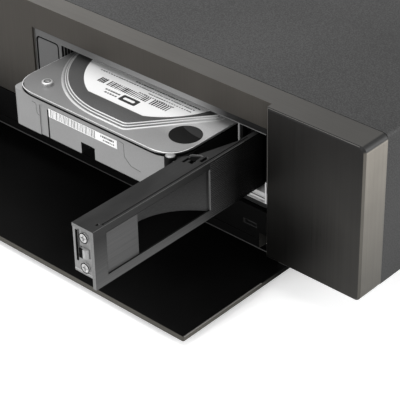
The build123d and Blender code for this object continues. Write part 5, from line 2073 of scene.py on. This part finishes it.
def case_finishes(places: Places) -> dict[str, Finish]:
    """Gathers the finishes of the case, its door, its rack and its back.

    Args:
        places: turns millimetres into scene points, for finishes that change across a node.

    Returns:
        The finishes by name.
    """
    # lower right of the bezel, where its painted light on the sill begins
    sill = places.at(141.0, 0.0, 48.5)
    band = places.at(0.0, 1.0, 0.0)
    # middle of the painted reflection on the right block's front
    foot = places.at(168.0, 0.0, 36.0)
    door_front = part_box("door_plate")[0].y
    plated = {"metal": 1.0, "strength": 0.03, "run": Run.ALL_WAYS}
    return {
        # frame_black: its top, side, edge and upper colours are painted light and shade of one metal
        "frame_black": SatinFront(
            "satin_black_front", tone(59, 58, 56), rough=0.36, metal=0.9, gloss=0.35, edge=0.3 * MM,
            spread=0.11, strength=0.12, upper=tone(48, 47, 46), ridge_shade=tone(46), turn=tone(44),
            top=tone(96, 94, 91), top_end_shade=tone(66, 65, 63), side=tone(122, 118, 111),
            side_low_shade=tone(98, 96, 91), band=tone(80, 77, 73), band_y=band.y, reflection_at=tuple(foot)),
        "gloss_black": DoorFinish(
            "door_black", tone(9), rough=0.42, gloss=0.05, edge=0.25 * MM, depth=0.005 * MM,
            edge_sheen=tone(86, 84, 79), edge_y=door_front + 0.6 * MM, edge_sheen_y=places.at(0, -12, 0).y,
            dark_y=places.at(0, 10, 0).y),
        "smoked_glass": Smoked("smoked_window", tone(8), rough=0.08),
        "bezel_plastic": BezelFinish(
            "bezel_grey", tone(101), gloss=0.3, edge=0.2 * MM, spread=0.06, grain=1500.0,
            depth=0.03 * MM, fade_from=0.118, fade_to=0.137, sill_x=sill.x, sill_z=sill.z,
            sill_low=42.9 * MM, sill=tone(218), dark=tone(14)),
        "rail_plastic": Finish("rail_black", tone(22), gloss=0.3, edge=0.2 * MM),
        "black_plastic": Finish("black_moulding", tone(24), gloss=0.3, edge=0.15 * MM),
        "foot_plastic": Finish("foot_black", tone(26), rough=0.3, gloss=0.4, edge=0.3 * MM),
        "zinc_steel": Brushed("zinc_plate", tone(120), rough=0.42, metal=0.85, strength=0.05,
                              run=Run.ALONG_Y, scratch=0.12),
        "black_steel": Brushed("black_screw", tone(38), rough=0.35, metal=0.6, strength=0.05,
                               run=Run.ALL_WAYS, scratch=0.2),
        "brass_post": Brushed("brass", tone(206, 172, 96), rough=0.3, scratch=0.08, **plated),
    } | named(
        Speckled("cover_paint", tone(66), rough=0.6, gloss=0.12, edge=0.3 * MM, spread=0.34,
                 grain=1500.0, depth=0.1 * MM, strength=0.35, left=1.15, right=0.68),
        Speckled("rear_paint", tone(46), rough=0.55, gloss=0.2, spread=0.2, grain=1700.0,
                 depth=0.06 * MM),
        Finish("port_black", tone(52), rough=0.4, metal=0.3, gloss=0.2),
        Finish("pad_rubber", tone(12), rough=0.85, gloss=0.05, grain=600.0, depth=0.1 * MM,
               strength=0.5),
        Finish("filter_black", tone(16), rough=0.9, gloss=0.05, grain=700.0, depth=0.4 * MM,
               strength=0.8),
        BoardFinish("board_green", tone(20, 62, 44), rough=0.4),
        Brushed("bare_steel", tone(190), rough=0.32, metal=1.0, strength=0.05, scratch=0.12),
        Brushed("bright_ring", tone(205), rough=0.18, scratch=0.06, **plated),
        Brushed("nickel", tone(196, 192, 184), rough=0.22, scratch=0.05, **plated),
        Finish("ring_red", tone(150, 28, 24), rough=0.4),
        Finish("ring_white", tone(215), rough=0.4),
        Finish("lens_white", tone(200, 214, 224), rough=0.2),
    )


def lever_finishes(places: Places) -> dict[str, Finish]:
    """Gathers the finishes of the lever and its end plate.

    Args:
        places: turns millimetres into scene points, for finishes that change across a node.

    Returns:
        The finishes by name.
    """
    # dark is the painted shade towards the hinge and the dark of the tip's top; tip is the painted
    # light of the tip's end faces
    arm = {"rough": 0.4, "gloss": 0.1, "edge": 0.22 * MM, "spread": 0.22, "depth": 0.01 * MM,
           "dark": tone(3), "tip": tone(124),
           "tip_y": places.at(0, -96, 0).y, "mid_y": places.at(0, -60, 0).y,
           "hinge_from": places.at(0, -30, 0).y, "hinge_to": places.at(0, -8, 0).y}
    plate = {"rough": 0.45, "metal": 0.1, "gloss": 0.3, "edge": 0.15 * MM}
    return {
        "lever_plastic": LeverFinish("lever_dark", tone(38), foot=tone(74), top=tone(40), **arm),
    } | named(
        LeverFinish("rib_grey", tone(84), foot=tone(94), top=tone(60), **arm),
        Finish("scoop_black", tone(4), rough=0.4, gloss=0.02),
        Brushed("brushed_plate", tone(62), run=Run.ALONG_Y, scratch=0.45, **plate),
        Brushed("latch_grey", tone(138), run=Run.ALONG_Z, scratch=0.12, **plate),
        Brushed("bright_screw", tone(200), rough=0.34, metal=0.75, strength=0.02, run=Run.ALL_WAYS,
                scratch=0.06),
    )


def drive_finishes(places: Places) -> dict[str, Finish]:
    """Gathers the finishes of the drive, its labels and its print.

    Args:
        places: turns millimetres into scene points, for finishes that change across a node.

    Returns:
        The finishes by name.
    """
    # corner where the painted shade of the drive's right side and ledge begins
    corner = places.at(136.75, -28.0, 71.0)
    raised_z = HardDrive.rim_z + 2 * HardDrive.step
    pressed = {"gloss": 0.6, "rough": 0.36, "metal": 0.25, "spread": 0.03, "strength": 0.02}
    return {
        "drive_cast": CastBase(
            "cast_alloy", tone(150), metal=0.2, gloss=0.3, edge=0.3 * MM, spread=0.07, grain=1300.0,
            depth=0.05 * MM, dark=tone(14), side_x=corner.x, ledge_x=0.1165, ledge_y=corner.y,
            ledge_z=corner.z),
        "drive_lid": PressedLid(
            "pressed_lid", tone(128), rough=0.44, metal=0.5, gloss=0.3, edge=0.3 * MM,
            middle=tone(92), step_z=(raised_z - 0.1) * MM, sheen_y=places.at(0, -12, 0).y),
    } | named(
        # painted highlights: ring_bright on the lid beads, edge_bright on the rolled edge, sheen_metal
        # on the flank
        RingFinish("ring_bright", tone(222), dim=tone(150), **pressed),
        RingFinish("edge_bright", tone(222), dim=tone(240), dim_x=0.134, full_x=0.1, **pressed),
        RingFinish("sheen_metal", tone(200), rough=0.4, metal=0.3, spread=0.05, strength=0.02,
                   dim=tone(128)),
        Brushed("post_cap", tone(138), rough=0.4, metal=0.5, strength=0.02, run=Run.ALL_WAYS,
                scratch=0.1),
        Finish("post_dark", tone(9), gloss=0.1),
        Finish("seal_black", tone(8), rough=0.4, gloss=0.12),
        Finish("seal_grey", tone(44), rough=0.35, gloss=0.2),
        Finish("label_paper", tone(236), rough=0.6, gloss=0.2, spread=0.02),
        Finish("label_dark", tone(44), gloss=0.2),
        Finish("label_ink", tone(26), rough=0.6, gloss=0.1),
        Finish("label_grey", tone(96), rough=0.6, gloss=0.1),
        Finish("code_paper", tone(254), rough=0.6, gloss=0.2, spread=0.01),
        Finish("code_ink", tone(120), rough=0.6, gloss=0.1),
    )


def line_finishes() -> dict[str, Finish]:
    """Gathers the finishes of the fine edges, joints and ribs.

    Returns:
        The finishes by name.
    """
    return named(
        # sill_pale, lip_grey, edge_grey, chamfer_grey and rail_grey serve as painted highlights and
        # painted light on fine edges; catch_grey is the latch catch's grey and the painted light of the
        # bezel rib and the ledge line; rail_grey is also the grey border of the lever's opening
        Finish("sill_pale", tone(242), gloss=0.3, spread=0.03),
        Finish("catch_grey", tone(168), rough=0.45, gloss=0.3),
        Finish("lip_grey", tone(112), rough=0.4, gloss=0.4),
        Finish("edge_grey", tone(104, 102, 99), rough=0.4, gloss=0.4),
        Finish("chamfer_grey", tone(84, 82, 79), rough=0.4, gloss=0.4),
        Finish("rail_grey", tone(78), rough=0.45, gloss=0.2),
        Finish("fin_grey", tone(96), gloss=0.3),
        Finish("crease_grey", tone(84), rough=0.6, gloss=0.1),
        Finish("seam_grey", tone(70), rough=0.6, gloss=0.1),
        Finish("gap_black", tone(8), rough=0.7, gloss=0.05),
    )


def main() -> None:
    """Builds the scene in order and reports each piece."""
    logging.basicConfig(level=logging.INFO, format="%(message)s")
    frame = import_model()
    nodes = frame["nodes"]
    places = Places(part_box("front_frame")[0].y)
    palette = Palette(frame["record"], case_finishes(places) | lever_finishes(places)
                      | drive_finishes(places) | line_finishes())
    palette.dress(nodes)
    trees = Trees(bar_tree(), rib_tree(), bead_tree(), scatter_tree())
    HardDrive(palette, places, trees).build(nodes["drive_screws"])
    RackLever(palette, places, trees).build(nodes["latch_screws"])
    Rack(palette, places, trees).build()
    FrontBlocks(palette, places, trees).build(nodes["front_frame"])
    RearSide(palette, places, trees).build()
    Underside(palette, places, trees).build()
    PowerKey(palette, places, trees).build()
    Studio().build(places)
    bpy.context.scene.view_settings.view_transform = "Standard"
    LOG.info("pieces made: %d", Workshop.made)


if __name__ == "__main__":
    main()
